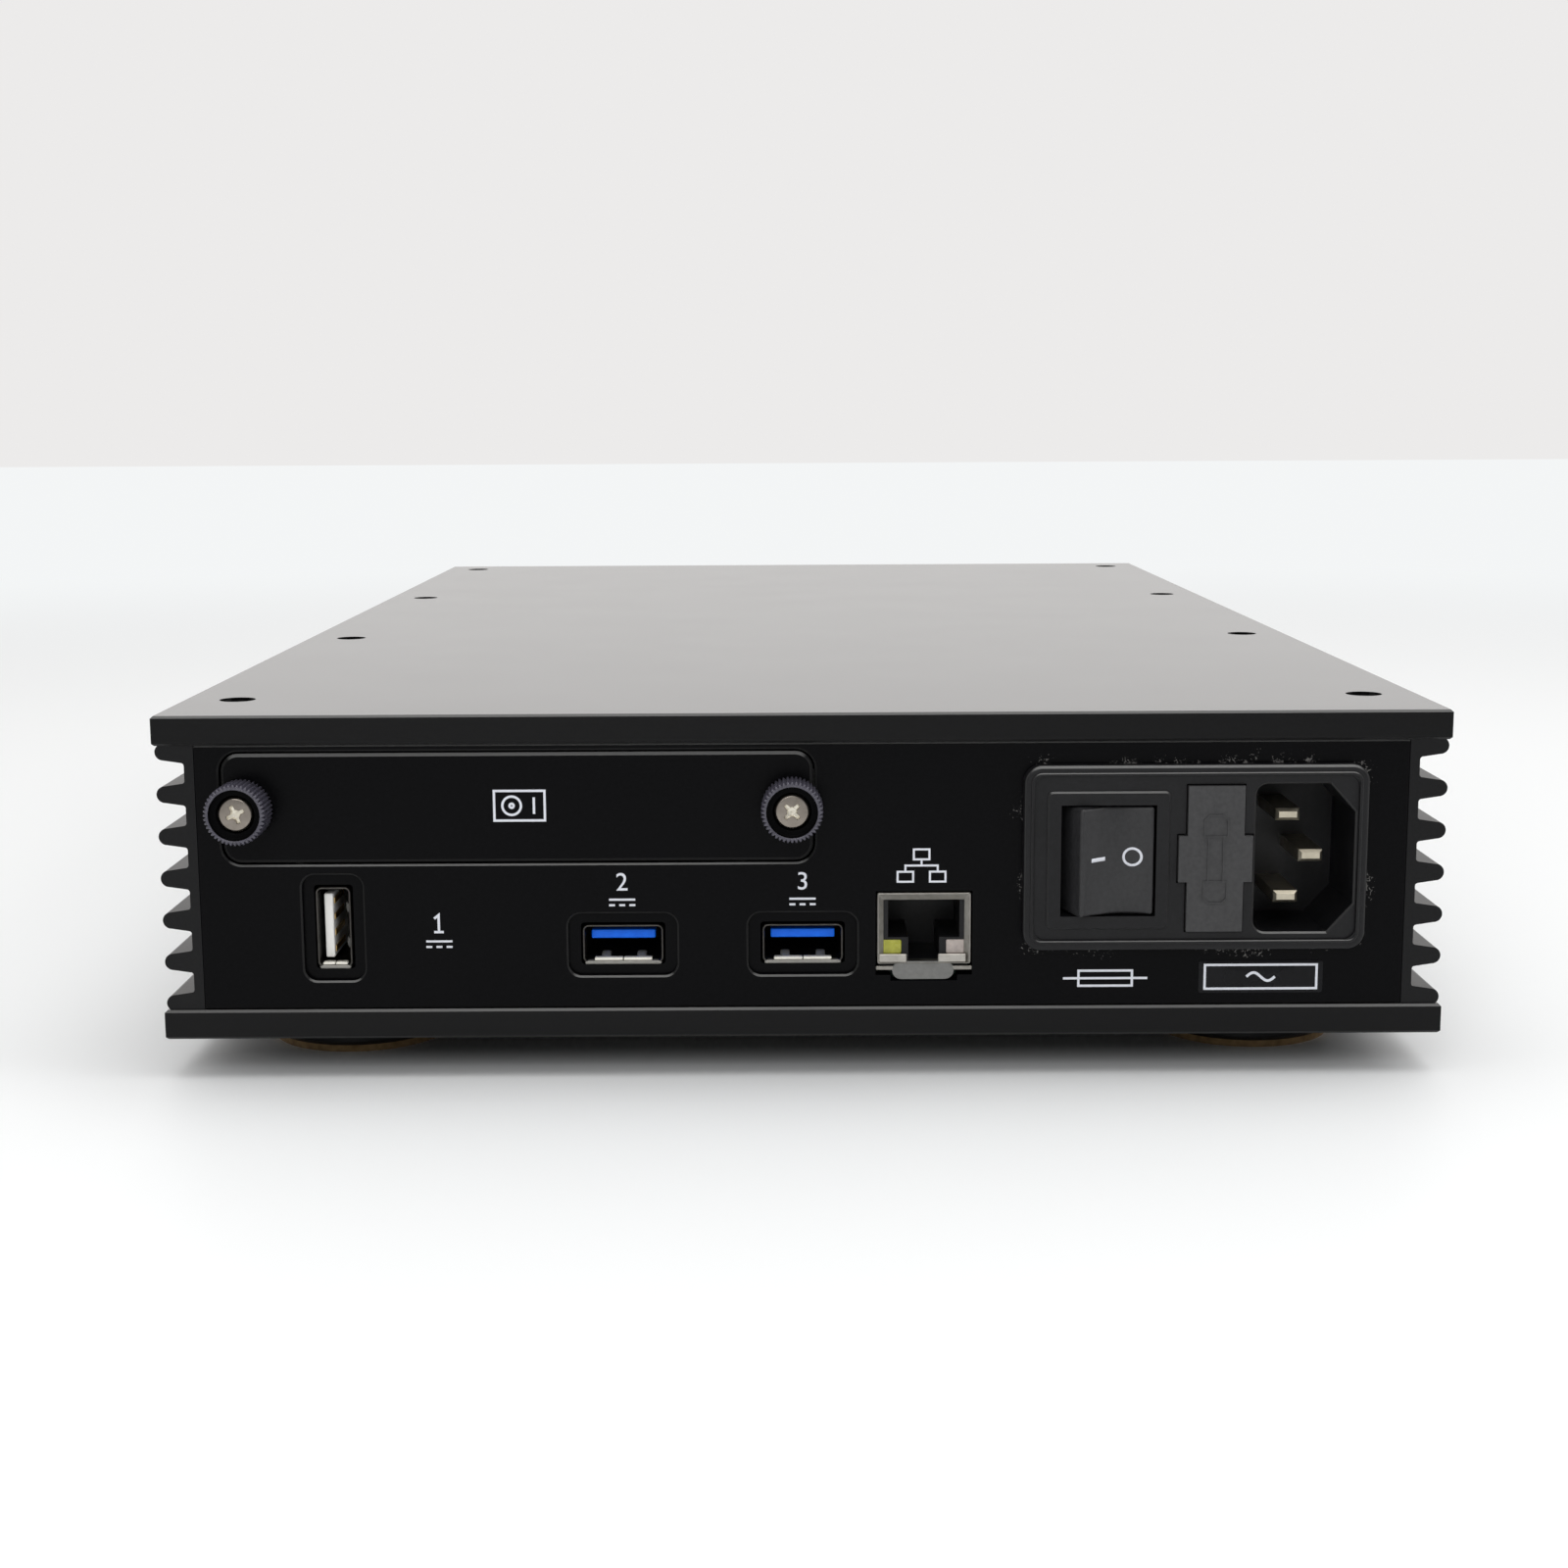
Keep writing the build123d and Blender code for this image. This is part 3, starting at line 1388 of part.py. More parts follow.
save("drive_door", drive_door())
save("drive_tray", drive_tray())
save("drive", drive())
save("tray_screws", *door_screws(), *drive_screws())
save("backplane_board", backplane())
save("drive_bay", drive_bay())
for side_name, thumb_x in zip(("left", "right"), thumb_xs):
    cap_solid, screw_solid = thumbscrew(thumb_x)
    save(f"thumb_cap_{side_name}", cap_solid)
    save(f"thumb_screw_{side_name}", screw_solid)
    save(f"thumb_clip_{side_name}", thumb_clip(thumb_x))

usb_sockets = [usb_socket(x, lid_top - usb_drop, usb_width, usb_height, False) for x in usb_places_x]
save("usb_shells", *[socket[0] for socket in usb_sockets])
save("usb_cores", *[socket[1] for socket in usb_sockets])
audio_z = lid_top - audio_drop
audio_shell, audio_core, audio_contacts = usb_socket(audio_x, audio_z, audio_width, audio_height, True)
save("audio_shell", audio_shell)
save("audio_core", audio_core)
socket_feet = [socket_foot(x, lid_top - usb_drop, usb_width / 2, usb_height / 2) for x in usb_places_x]
socket_feet.append(socket_foot(audio_x, lid_top - audio_drop, audio_height / 2, audio_width / 2))

jack_shield, jack_insert, jack_contacts, jack_lights = network_jack()
save("network_shield", jack_shield)
save("network_insert", jack_insert)
save("socket_contacts", *usb_sockets[0][2], *usb_sockets[1][2], *audio_contacts, *jack_contacts)
save("network_lights", *jack_lights)

pin_solids, pin_places = inlet_pins()
save("inlet_housing", inlet_housing(pin_solids))
save("inlet_pins", *pin_solids)
save("power_rocker", rocker())
save("fuse_drawer", fuse_drawer())
fuse_glass, fuse_caps = fuse()
save("fuse_glass", fuse_glass)
save("fuse_caps", *fuse_caps)

window_solid, display_solid = display()
save("display_window", window_solid)
save("display_panel", display_solid)
button_names = ["power_button"] + [f"control_button_{number + 1}" for number in range(len(control_xs))]
for name, solid in zip(button_names, front_buttons()):
    save(name, solid)
control_solid, control_screws, push_switches = control_board()
save("control_board", control_solid)
save("push_switches", *push_switches)

main_solid, main_standoffs, main_screws = mainboard()
supply_solid, supply_standoffs, supply_screws = flat_board(
    supply_left, supply_right, supply_start, supply_start + supply_length, supply_places
)
save("mainboard", main_solid)
save("supply_board", supply_solid)
posts, post_screws = bay_posts()
save("board_standoffs", *main_standoffs, *supply_standoffs, *posts)
save("board_screws", *main_screws, *supply_screws, *control_screws, *post_screws)
chip_solid, heat_block_solid, pipe_solids, clamp_solid = cooling()
save("processor", chip_solid)
save("heat_pipes", *pipe_solids)
save("heat_blocks", heat_block_solid, clamp_solid)
save("memory_module", memory())
capacitor_solids, regulator_solids, terminal_solid = supply_parts()
save("supply_capacitors", *capacitor_solids)
save("supply_regulators", *regulator_solids, terminal_solid)
core_solid, pad_solid, dish_solid, bolt_solid = transformer()
save("transformer", core_solid)
save("transformer_clamp", pad_solid, dish_solid, bolt_solid)
ribbon_solid, ribbon_header = display_ribbon()
drive_cable, drive_header = drive_lead()
wires = mains_leads(pin_places) + supply_leads() + transformer_leads()
save("inside_leads", *wires, ribbon_solid, drive_cable)
save("board_headers", *socket_feet, drive_socket(), ribbon_header, drive_header)
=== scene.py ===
import json

import bpy
import numpy as np
from mathutils import Matrix, Vector


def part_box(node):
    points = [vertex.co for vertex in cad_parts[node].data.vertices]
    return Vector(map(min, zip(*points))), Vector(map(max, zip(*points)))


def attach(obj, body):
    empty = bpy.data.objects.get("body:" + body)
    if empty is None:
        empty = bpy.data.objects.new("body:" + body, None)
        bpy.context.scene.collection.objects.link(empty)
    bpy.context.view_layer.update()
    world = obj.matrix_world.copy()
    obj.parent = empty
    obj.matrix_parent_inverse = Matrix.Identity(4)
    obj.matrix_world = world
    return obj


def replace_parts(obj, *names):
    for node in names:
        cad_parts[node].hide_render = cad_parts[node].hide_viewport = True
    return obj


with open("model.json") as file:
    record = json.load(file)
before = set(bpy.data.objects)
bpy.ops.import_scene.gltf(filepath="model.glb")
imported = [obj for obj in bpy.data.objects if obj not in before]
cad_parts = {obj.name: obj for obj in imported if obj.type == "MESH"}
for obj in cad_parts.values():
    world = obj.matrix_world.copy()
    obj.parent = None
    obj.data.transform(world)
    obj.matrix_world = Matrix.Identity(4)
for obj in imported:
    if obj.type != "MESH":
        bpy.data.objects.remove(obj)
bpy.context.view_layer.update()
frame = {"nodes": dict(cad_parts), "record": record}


# Camera: it stands behind the unit and a little above the lid, and looks down at the rear panel.
# Its place, turns and focal length were solved from the lid's corners in the photograph.
mm = 0.001
camera_place = np.array((-3.19, -547.51, 111.98)) * mm
yaw, pitch, roll = 0.0005, 0.1643, 0.0052
focal_pixels, image_pixels, sensor_width = 2328.64, 1600.0, 36.0
ahead = np.array((np.sin(yaw) * np.cos(pitch), np.cos(yaw) * np.cos(pitch), -np.sin(pitch)))
sideways = np.array((np.cos(yaw), -np.sin(yaw), 0.0))
down = np.cross(ahead, sideways)
level_x = np.cos(roll) * sideways + np.sin(roll) * down
level_y = np.sin(roll) * sideways - np.cos(roll) * down
axes = np.column_stack((level_x, level_y, -ahead))
camera = bpy.data.objects.new("camera", bpy.data.cameras.new("camera"))
camera.data.sensor_width = sensor_width
camera.data.lens = focal_pixels / image_pixels * sensor_width
camera.data.clip_start = 0.01
camera.matrix_world = Matrix.Translation(Vector(camera_place)) @ Matrix(axes.tolist()).to_4x4()
bpy.context.scene.collection.objects.link(camera)
bpy.context.scene.camera = camera
bpy.context.scene.view_settings.view_transform = "Standard"


# Table: a pale board with a slight sheen, on which the unit stands and throws its shadow.
# Away from the unit it fades to its own plain paleness, for the camera alone, as under even light.
table_pale, table_half = (0.90, 0.915, 0.92, 1), 4000.0
fade_near, fade_far = 0.30, 1.1
weld_gap = 1e-7


def surface(name, grid, wrap_u=False, wrap_v=False, smooth=True):
    """A mesh over an array of points (rows u, columns v): each cell of the grid is one four-sided face, which
    points along u x v. Rows that shrink to a point, and seams where the grid meets itself, are welded."""
    rows, columns = grid.shape[:2]
    index = np.arange(rows * columns).reshape(rows, columns)
    index = np.concatenate((index, index[:1])) if wrap_u else index
    index = np.concatenate((index, index[:, :1]), axis=1) if wrap_v else index
    corners = (index[:-1, :-1], index[1:, :-1], index[1:, 1:], index[:-1, 1:])
    mesh = bpy.data.meshes.new(name)
    faces = np.stack(corners, axis=-1).reshape(-1, 4)
    mesh.from_pydata((grid.reshape(-1, 3) * mm).tolist(), [], faces.tolist())
    mesh.validate()
    mesh.polygons.foreach_set("use_smooth", np.full(len(mesh.polygons), smooth))
    piece = bpy.data.objects.new(name, mesh)
    bpy.context.scene.collection.objects.link(piece)
    piece.modifiers.new("closed_seams", "WELD").merge_threshold = weld_gap
    return piece


def add_node(tree, kind, values=None, **settings):
    """A new shader node, with its settings and then the values of its input sockets."""
    made = tree.nodes.new(kind)
    for setting, value in settings.items():
        setattr(made, setting, value)
    for socket, value in (values or {}).items():
        made.inputs[socket].default_value = value
    return made


def wire(tree, *pairs):
    """Links pairs of sockets, each an output and the input that it feeds."""
    for source, target in pairs:
        tree.links.new(source, target)


floor_x, floor_y = np.meshgrid((-table_half, table_half), (-table_half, table_half), indexing="ij")
floor = surface("floor", np.stack((floor_x, floor_y, np.zeros_like(floor_x)), axis=-1))
table = bpy.data.materials.new("pale_table")
table.use_nodes = True
board = table.node_tree
board_shader = board.nodes["Principled BSDF"]
board_shader.inputs["Base Color"].default_value = table_pale
board_shader.inputs["Roughness"].default_value = 0.5
board_place = add_node(board, "ShaderNodeTexCoord")
board_reach = add_node(board, "ShaderNodeVectorMath", operation="LENGTH")
board_fade = add_node(board, "ShaderNodeMapRange", {"From Min": fade_near, "From Max": fade_far},
                      interpolation_type="SMOOTHSTEP")
board_rays = add_node(board, "ShaderNodeLightPath")
board_share = add_node(board, "ShaderNodeMath", operation="MULTIPLY")
board_glow = add_node(board, "ShaderNodeEmission", {"Color": table_pale})
board_mix = add_node(board, "ShaderNodeMixShader")
wire(board, (board_place.outputs["Object"], board_reach.inputs[0]),
     (board_reach.outputs["Value"], board_fade.inputs["Value"]),
     (board_fade.outputs["Result"], board_share.inputs[0]),
     (board_rays.outputs["Is Camera Ray"], board_share.inputs[1]),
     (board_share.outputs[0], board_mix.inputs["Fac"]),
     (board_shader.outputs["BSDF"], board_mix.inputs[1]),
     (board_glow.outputs["Emission"], board_mix.inputs[2]),
     (board_mix.outputs["Shader"], board.nodes["Material Output"].inputs["Surface"]))
floor.data.materials.append(table)


# Lamps: three square soft boxes of plain white light, over the unit, behind the camera and at the right.
# Places and sizes are in metres, and powers in watts.
def soft_lamp(name, place, aim, size, power):
    """A square lamp that looks from one point at another."""
    lamp = bpy.data.objects.new(name, bpy.data.lights.new(name, "AREA"))
    lamp.data.size = size
    lamp.data.energy = power
    way = Vector(aim) - Vector(place)
    lamp.matrix_world = Matrix.Translation(Vector(place)) @ way.to_track_quat("-Z", "Y").to_matrix().to_4x4()
    bpy.context.scene.collection.objects.link(lamp)


soft_lamp("ceiling_light", (0.1, -0.2, 1.3), (0.0, -0.1, 0.0), 1.2, 8.0)
soft_lamp("front_light", (-0.2, -1.25, 0.75), (0.0, -0.17, 0.03), 0.6, 4.5)
soft_lamp("right_light", (1.2, -0.35, 0.8), (0.05, -0.17, 0.03), 0.7, 3.0)


# Room: painted walls, pale ahead of the camera and at the sides, and dim behind it.
# The camera itself sees one even wall; the unit's gloss mirrors the walls as they are.
wall_dim, wall_pale, wall_seen = (0.26, 0.26, 0.262, 1), (0.80, 0.785, 0.775, 1), (0.84, 0.83, 0.825, 1)
world = bpy.data.worlds.new("room")
bpy.context.scene.world = world
world.use_nodes = True
room = world.node_tree
room_way = add_node(room, "ShaderNodeTexCoord")
room_split = add_node(room, "ShaderNodeSeparateXYZ")
room_fade = add_node(room, "ShaderNodeMapRange", {"From Min": -0.75, "From Max": 0.1})
room_wall = add_node(room, "ShaderNodeMix", {"A": wall_dim, "B": wall_pale}, data_type="RGBA")
room_rays = add_node(room, "ShaderNodeLightPath")
room_seen = add_node(room, "ShaderNodeMix", {"B": wall_seen}, data_type="RGBA")
wire(room, (room_way.outputs["Generated"], room_split.inputs[0]),
     (room_split.outputs["Y"], room_fade.inputs["Value"]),
     (room_fade.outputs["Result"], room_wall.inputs["Factor"]),
     (room_rays.outputs["Is Camera Ray"], room_seen.inputs["Factor"]),
     (room_wall.outputs["Result"], room_seen.inputs["A"]),
     (room_seen.outputs["Result"], room.nodes["Background"].inputs["Color"]))


# Case: two aluminium plates and two finned extrusions, bead blasted and anodised black.
# The plates screw down onto ledges inside the extrusions; their broken edges carry a painted highlight, a
# little paler.
painted_highlight_pale = (0.30, 0.30, 0.295, 1)
relief_height = 0.0002
grain = bpy.data.node_groups.new("fine_grain", "ShaderNodeTree")
for label, preset in (("Scale", 900.0), ("Patch Scale", 25.0)):
    grain.interface.new_socket(label, in_out="INPUT", socket_type="NodeSocketFloat").default_value = preset
for label in ("Speck", "Patch"):
    grain.interface.new_socket(label, in_out="OUTPUT", socket_type="NodeSocketFloat")
grain_in, grain_out = add_node(grain, "NodeGroupInput"), add_node(grain, "NodeGroupOutput")
grain_place = add_node(grain, "ShaderNodeTexCoord")
for label, target, detail in (("Scale", "Speck", 4.0), ("Patch Scale", "Patch", 3.0)):
    noise = add_node(grain, "ShaderNodeTexNoise", {"Detail": detail})
    wire(grain, (grain_place.outputs["Object"], noise.inputs["Vector"]),
         (grain_in.outputs[label], noise.inputs["Scale"]), (noise.outputs["Fac"], grain_out.inputs[target]))

# The painted highlight marks edges that lean up and back at 45 degrees, and faintly those that lean back any
# other way.
edge_highlight_group = bpy.data.node_groups.new("painted_edge_highlight", "ShaderNodeTree")
edge_highlight_group.interface.new_socket("Amount", in_out="INPUT", socket_type="NodeSocketFloat").default_value = 1.0
edge_highlight_group.interface.new_socket("Mask", in_out="OUTPUT", socket_type="NodeSocketFloat")
edge_highlight_in, edge_highlight_out = add_node(edge_highlight_group, "NodeGroupInput"), add_node(edge_highlight_group, "NodeGroupOutput")
facing = add_node(edge_highlight_group, "ShaderNodeNewGeometry")
slope = add_node(edge_highlight_group, "ShaderNodeVectorMath", {1: (0.0, -0.707, 0.707)}, operation="DOT_PRODUCT")
slope_band = add_node(edge_highlight_group, "ShaderNodeMapRange", {"From Min": 0.86, "From Max": 0.97})
lean = add_node(edge_highlight_group, "ShaderNodeVectorMath", {1: (0.0, -1.0, 0.0)}, operation="DOT_PRODUCT")
lean_band = add_node(edge_highlight_group, "ShaderNodeMath", {1: 0.72, 2: 0.12}, operation="COMPARE")
lean_share = add_node(edge_highlight_group, "ShaderNodeMath", {1: 0.12}, operation="MULTIPLY")
either = add_node(edge_highlight_group, "ShaderNodeMath", operation="MAXIMUM")
edge_highlight_scale = add_node(edge_highlight_group, "ShaderNodeMath", operation="MULTIPLY")
wire(edge_highlight_group, (facing.outputs["Normal"], slope.inputs[0]), (facing.outputs["Normal"], lean.inputs[0]),
     (slope.outputs["Value"], slope_band.inputs["Value"]), (lean.outputs["Value"], lean_band.inputs[0]),
     (lean_band.outputs[0], lean_share.inputs[0]), (slope_band.outputs["Result"], either.inputs[0]),
     (lean_share.outputs[0], either.inputs[1]), (either.outputs[0], edge_highlight_scale.inputs[0]),
     (edge_highlight_in.outputs["Amount"], edge_highlight_scale.inputs[1]),
     (edge_highlight_scale.outputs[0], edge_highlight_out.inputs["Mask"]))


def finish(name, dark, light, rough, scale=900.0, patch=25.0, bump=0.02, metallic=0.0, ior=1.5, edge=0.0):
    """A material whose colour runs from dark to light with fine grain, whose roughness changes in patches,
    and whose bump follows the grain; edge is how strongly a painted highlight pales
    its broken upper edges."""
    made = bpy.data.materials.new(name)
    made.use_nodes = True
    tree = made.node_tree
    shader = tree.nodes["Principled BSDF"]
    shader.inputs["Metallic"].default_value = metallic
    shader.inputs["IOR"].default_value = ior
    texture = add_node(tree, "ShaderNodeGroup", {"Scale": scale, "Patch Scale": patch}, node_tree=grain)
    tint = add_node(tree, "ShaderNodeMix", {"A": (*dark, 1), "B": (*light, 1)}, data_type="RGBA")
    gloss = add_node(tree, "ShaderNodeMapRange",
                     {"From Min": 0.3, "From Max": 0.7, "To Min": rough[0], "To Max": rough[1]})
    relief = add_node(tree, "ShaderNodeBump", {"Strength": bump, "Distance": relief_height})
    wire(tree, (texture.outputs["Speck"], tint.inputs["Factor"]),
         (tint.outputs["Result"], shader.inputs["Base Color"]),
         (texture.outputs["Patch"], gloss.inputs["Value"]),
         (gloss.outputs["Result"], shader.inputs["Roughness"]),
         (texture.outputs["Speck"], relief.inputs["Height"]),
         (relief.outputs["Normal"], shader.inputs["Normal"]))
    # Painted highlight: the colour turns towards a pale grey on broken edges that lean towards the lamps.
    if edge:
        highlight_mask = add_node(tree, "ShaderNodeGroup", {"Amount": edge}, node_tree=edge_highlight_group)
        highlit_colour = add_node(tree, "ShaderNodeMix", {"B": painted_highlight_pale}, data_type="RGBA")
        wire(tree, (highlight_mask.outputs["Mask"], highlit_colour.inputs["Factor"]), (tint.outputs["Result"], highlit_colour.inputs["A"]),
             (highlit_colour.outputs["Result"], shader.inputs["Base Color"]))
    return made


def dress(material, *nodes):
    """Gives shown CAD nodes a material."""
    for node in nodes:
        frame["nodes"][node].data.materials.clear()
        frame["nodes"][node].data.materials.append(material)


plate_black = finish("plate_black", (0.001, 0.001, 0.0011), (0.004, 0.004, 0.0045), (0.215, 0.23),
                     scale=1600.0, patch=45.0, bump=0.10, ior=1.26, edge=0.3)
plate = plate_black.node_tree
plate_shader = plate.nodes["Principled BSDF"]
plate_shader.inputs["Coat IOR"].default_value = 1.46
plate_shader.inputs["Coat Roughness"].default_value = 0.21
plate_facing = add_node(plate, "ShaderNodeNewGeometry")
plate_up = add_node(plate, "ShaderNodeSeparateXYZ")
plate_sheen = add_node(plate, "ShaderNodeMapRange", {"From Min": 0.6, "From Max": 0.95})
wire(plate, (plate_facing.outputs["Normal"], plate_up.inputs[0]),
     (plate_up.outputs["Z"], plate_sheen.inputs["Value"]),
     (plate_sheen.outputs["Result"], plate_shader.inputs["Coat Weight"]))
dress(plate_black, "lid_plate", "base_plate")
fin_black = finish("fin_black", (0.001, 0.001, 0.0012), (0.005, 0.005, 0.006), (0.26, 0.31),
                   scale=1600.0, patch=30.0, bump=0.10, ior=1.3, edge=0.2)
dress(fin_black, "side_fins_right", "side_fins_left")


# Case screws and feet: black oxide socket screws sunk in the plates; turned feet with cork pads.
# Each foot is held by a screw under its pad.
oxide = finish("black_oxide", (0.006, 0.006, 0.006), (0.02, 0.02, 0.021), (0.32, 0.5),
               scale=1200.0, patch=200.0, bump=0.05, metallic=0.3)
dress(oxide, "lid_screws", "base_screws")
dress(fin_black, "foot_bodies")
cork = finish("cork_pad", (0.10, 0.055, 0.02), (0.42, 0.28, 0.13), (0.8, 0.95),
              scale=700.0, patch=120.0, bump=0.5)
dress(cork, "foot_pads")


# Front: an anodised aluminium panel with a smoked acrylic window, and turned aluminium buttons in its bores.
# The panel is held between the two plates; the buttons press on switches of the board behind them.
dress(fin_black, "front_panel", "power_button", *(f"control_button_{number}" for number in range(1, 5)))
window = finish("dark_window", (0.004, 0.004, 0.005), (0.008, 0.008, 0.009), (0.05, 0.09),
                scale=300.0, patch=40.0, bump=0.0)
dress(window, "display_window")


# Drive door: a milled aluminium plate on the front of the drive tray, anodised a duller black than the lid.
# It closes the drive's slot in the rear panel, flush with it.
anodised = finish("black_anodised", (0.0007, 0.0007, 0.0009), (0.003, 0.003, 0.0038), (0.29, 0.33),
                  scale=1600.0, patch=30.0, bump=0.10, ior=1.16, edge=0.5)
dress(anodised, "drive_door")


# Thumbscrews: straight-knurled aluminium caps, dished in front, turned on the door's two steel screws.
# The cap is a turned blank with a rolled knurl; the screw is a cross-recessed pan head.
knurl_teeth, knurl_depth, steps_per_tooth = 44, 0.5, 8
bore_radius, dish_first_row = 1.55, 9
head_radius, head_seat, shank_radius = 2.95, -178.0, 1.5
# Painted sheen: the caps' black anodise is lifted to a bluish grey; their dished fronts stay near black.
cap_painted_sheen = finish("knurled_black_painted_sheen", (0.035, 0.033, 0.046), (0.10, 0.096, 0.125), (0.24, 0.34),
                   scale=1500.0, patch=300.0, bump=0.05)
dish_black = finish("dish_black", (0.001, 0.001, 0.0012), (0.003, 0.003, 0.0035), (0.4, 0.5),
                    scale=1500.0, patch=300.0, bump=0.05, ior=1.1)
screw_steel = finish("screw_steel", (0.20, 0.175, 0.15), (0.30, 0.27, 0.24), (0.26, 0.4),
                     patch=500.0, bump=0.05, metallic=1.0)
# Painted glints: faces sunk in the cross get a pale steel, as where the recess's walls catch the ceiling
# lamp.
painted_glint_steel = finish("painted_glint_steel", (0.72, 0.68, 0.58), (0.90, 0.86, 0.76), (0.3, 0.5),
                      patch=500.0, bump=0.05, metallic=0.6)


def box_mm(node):
    """A node's lowest and highest corners at rest, in millimetres."""
    return tuple(np.array(corner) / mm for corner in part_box(node))


def fit(piece, body, slot, *materials):
    """Gives a new piece its materials and the body that it rides on; the record's slot is not used."""
    for material in materials:
        piece.data.materials.append(material)
    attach(piece, body)
    return piece


def round_points(x, z, radius, depth, angle):
    """Points round an axis along Y: x + radius * cos(angle), depth, z + radius * sin(angle)."""
    radius, depth, angle = np.broadcast_arrays(radius, depth, angle)
    return np.stack((x + radius * np.cos(angle), depth, z + radius * np.sin(angle)), -1)


def turned_cap(name, x, z, back, front):
    """Radius and depth along a turned profile, carried round the axis; the knurl takes
    depth * (1 - |cos(teeth * angle / 2)|) off the radius where the profile's share is 1."""
    profile = np.array([
        (bore_radius, back, 0), (4.55, back, 0), (4.9, back - 0.12, 0.6), (5.13, back - 0.4, 1),
        (5.13, front + 0.42, 1), (5.08, front + 0.22, 1), (4.92, front + 0.06, 0.9), (4.72, front, 0.5),
        (4.35, front, 0), (4.24, front + 0.08, 0), (4.22, front + 0.3, 0), (4.15, front + 1.0, 0),
        (3.9, front + 1.1, 0), (3.3, front + 1.1, 0), (3.15, front + 1.16, 0), (3.15, front + 2.4, 0),
        (bore_radius, front + 2.4, 0)])
    angle = np.linspace(0, -2 * np.pi, knurl_teeth * steps_per_tooth, endpoint=False)
    tooth = 1 - np.abs(np.cos(knurl_teeth * angle / 2))
    radius = profile[:, :1] - knurl_depth * profile[:, 2:] * tooth
    piece = surface(name, round_points(x, z, radius, profile[:, 1:2], angle), True, True)
    row = np.arange(len(piece.data.polygons)) // len(angle)
    piece.data.polygons.foreach_set("material_index", (row >= dish_first_row).astype(np.int32))
    return piece


def cross_head(name, x, z, front, turn):
    """A pan head as depth over a polar grid: a low dome, minus a cross whose arms taper in width and depth;
    the last two rows are its side and its flat seat."""
    radius = np.concatenate((np.linspace(0, 1.9, 56), np.linspace(1.95, head_radius, 16)))[:, None]
    angle = np.linspace(0, 2 * np.pi, 192, endpoint=False)[None, :]
    along, side = radius * np.cos(angle - turn), radius * np.sin(angle - turn)
    arm = np.minimum(np.abs(along), np.abs(side))
    reach = np.maximum(np.abs(along), np.abs(side))
    width = 0.42 - 0.06 * reach
    wall = np.clip((width - arm) / 0.12, 0, 1) * np.clip((1.62 - reach) / 0.25, 0, 1)
    heart = np.clip((0.85 - radius) / 0.2, 0, 1)
    sink = np.maximum(wall * (0.95 - 0.3 * reach), heart * 0.8)
    dome = 0.16 * (radius / head_radius) ** 2 + 0.55 * np.clip((radius - 2.45) / 0.5, 0, 1) ** 2.4
    depth = np.concatenate((front + dome + sink, np.full((2, angle.shape[1]), head_seat)))
    radius = np.concatenate((radius, [[head_radius], [0.0]]))
    piece = surface(name, round_points(x, z, radius, depth, angle), False, True)
    # The faces sunk in the cross take the second material, the painted glint.
    sunk = np.concatenate((sink[1:] > 0.12, np.zeros((2, angle.shape[1]), bool)))
    piece.data.polygons.foreach_set("material_index", sunk.ravel().astype(np.int32))
    return piece


def thumb_shank(name, x, z, end):
    """The plain shank behind the head, a circle carried back along the axis to a chamfered end."""
    stations = np.array([(0, head_seat), (shank_radius, head_seat), (shank_radius, end - 0.5),
                         (1.1, end), (0, end)])
    angle = np.linspace(0, 2 * np.pi, 40, endpoint=False)
    return surface(name, round_points(x, z, stations[:, :1], stations[:, 1:], angle), False, True)


for side, turn in (("left", 0.42), ("right", 0.79)):
    cap_low, cap_high = box_mm(f"thumb_cap_{side}")
    screw_low, screw_high = box_mm(f"thumb_screw_{side}")
    thumb_x, _, thumb_z = (cap_low + cap_high) / 2
    body = f"thumbscrew_{side}"
    cap = turned_cap(f"knurled_cap_{side}", thumb_x, thumb_z, cap_high[1], cap_low[1])
    head = cross_head(f"cross_head_{side}", thumb_x, thumb_z, screw_low[1], turn)
    shank = thumb_shank(f"screw_shank_{side}", thumb_x, thumb_z, screw_high[1])
    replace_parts(fit(cap, body, "black_anodised", cap_painted_sheen, dish_black), f"thumb_cap_{side}")
    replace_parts(fit(head, body, "steel", screw_steel, painted_glint_steel), f"thumb_screw_{side}")
    fit(shank, body, "steel", screw_steel)
dress(screw_steel, "thumb_clip_left", "thumb_clip_right", "tray_screws")


# USB sockets: folded nickel-plated shells with a rolled mouth, spring tabs and a plastic tongue.
# Two lie flat with blue tongues, one stands on end with a white tongue; all are soldered to the board inside.
shell_corner, shell_wall, shell_depth = 1.0, 0.4, 15.0
tongue_thick, tongue_side_gap, tongue_top_gap = 1.5, 1.4, 0.75
spring_spread, spring_start, spring_length, spring_rise, spring_thick = 3.0, 1.2, 4.2, 0.95, 0.15
lip_share, lip_height, sill_height = 0.36, 0.46, 0.62
# Painted shade: the shells' nickel is darkened nearly to black, for the shade in the panel's pockets.
shell_nickel_painted_shade = finish("shell_nickel_painted_shade", (0.045, 0.042, 0.038), (0.10, 0.095, 0.088), (0.3, 0.42),
                    scale=1100.0, patch=350.0, bump=0.05, metallic=1.0)
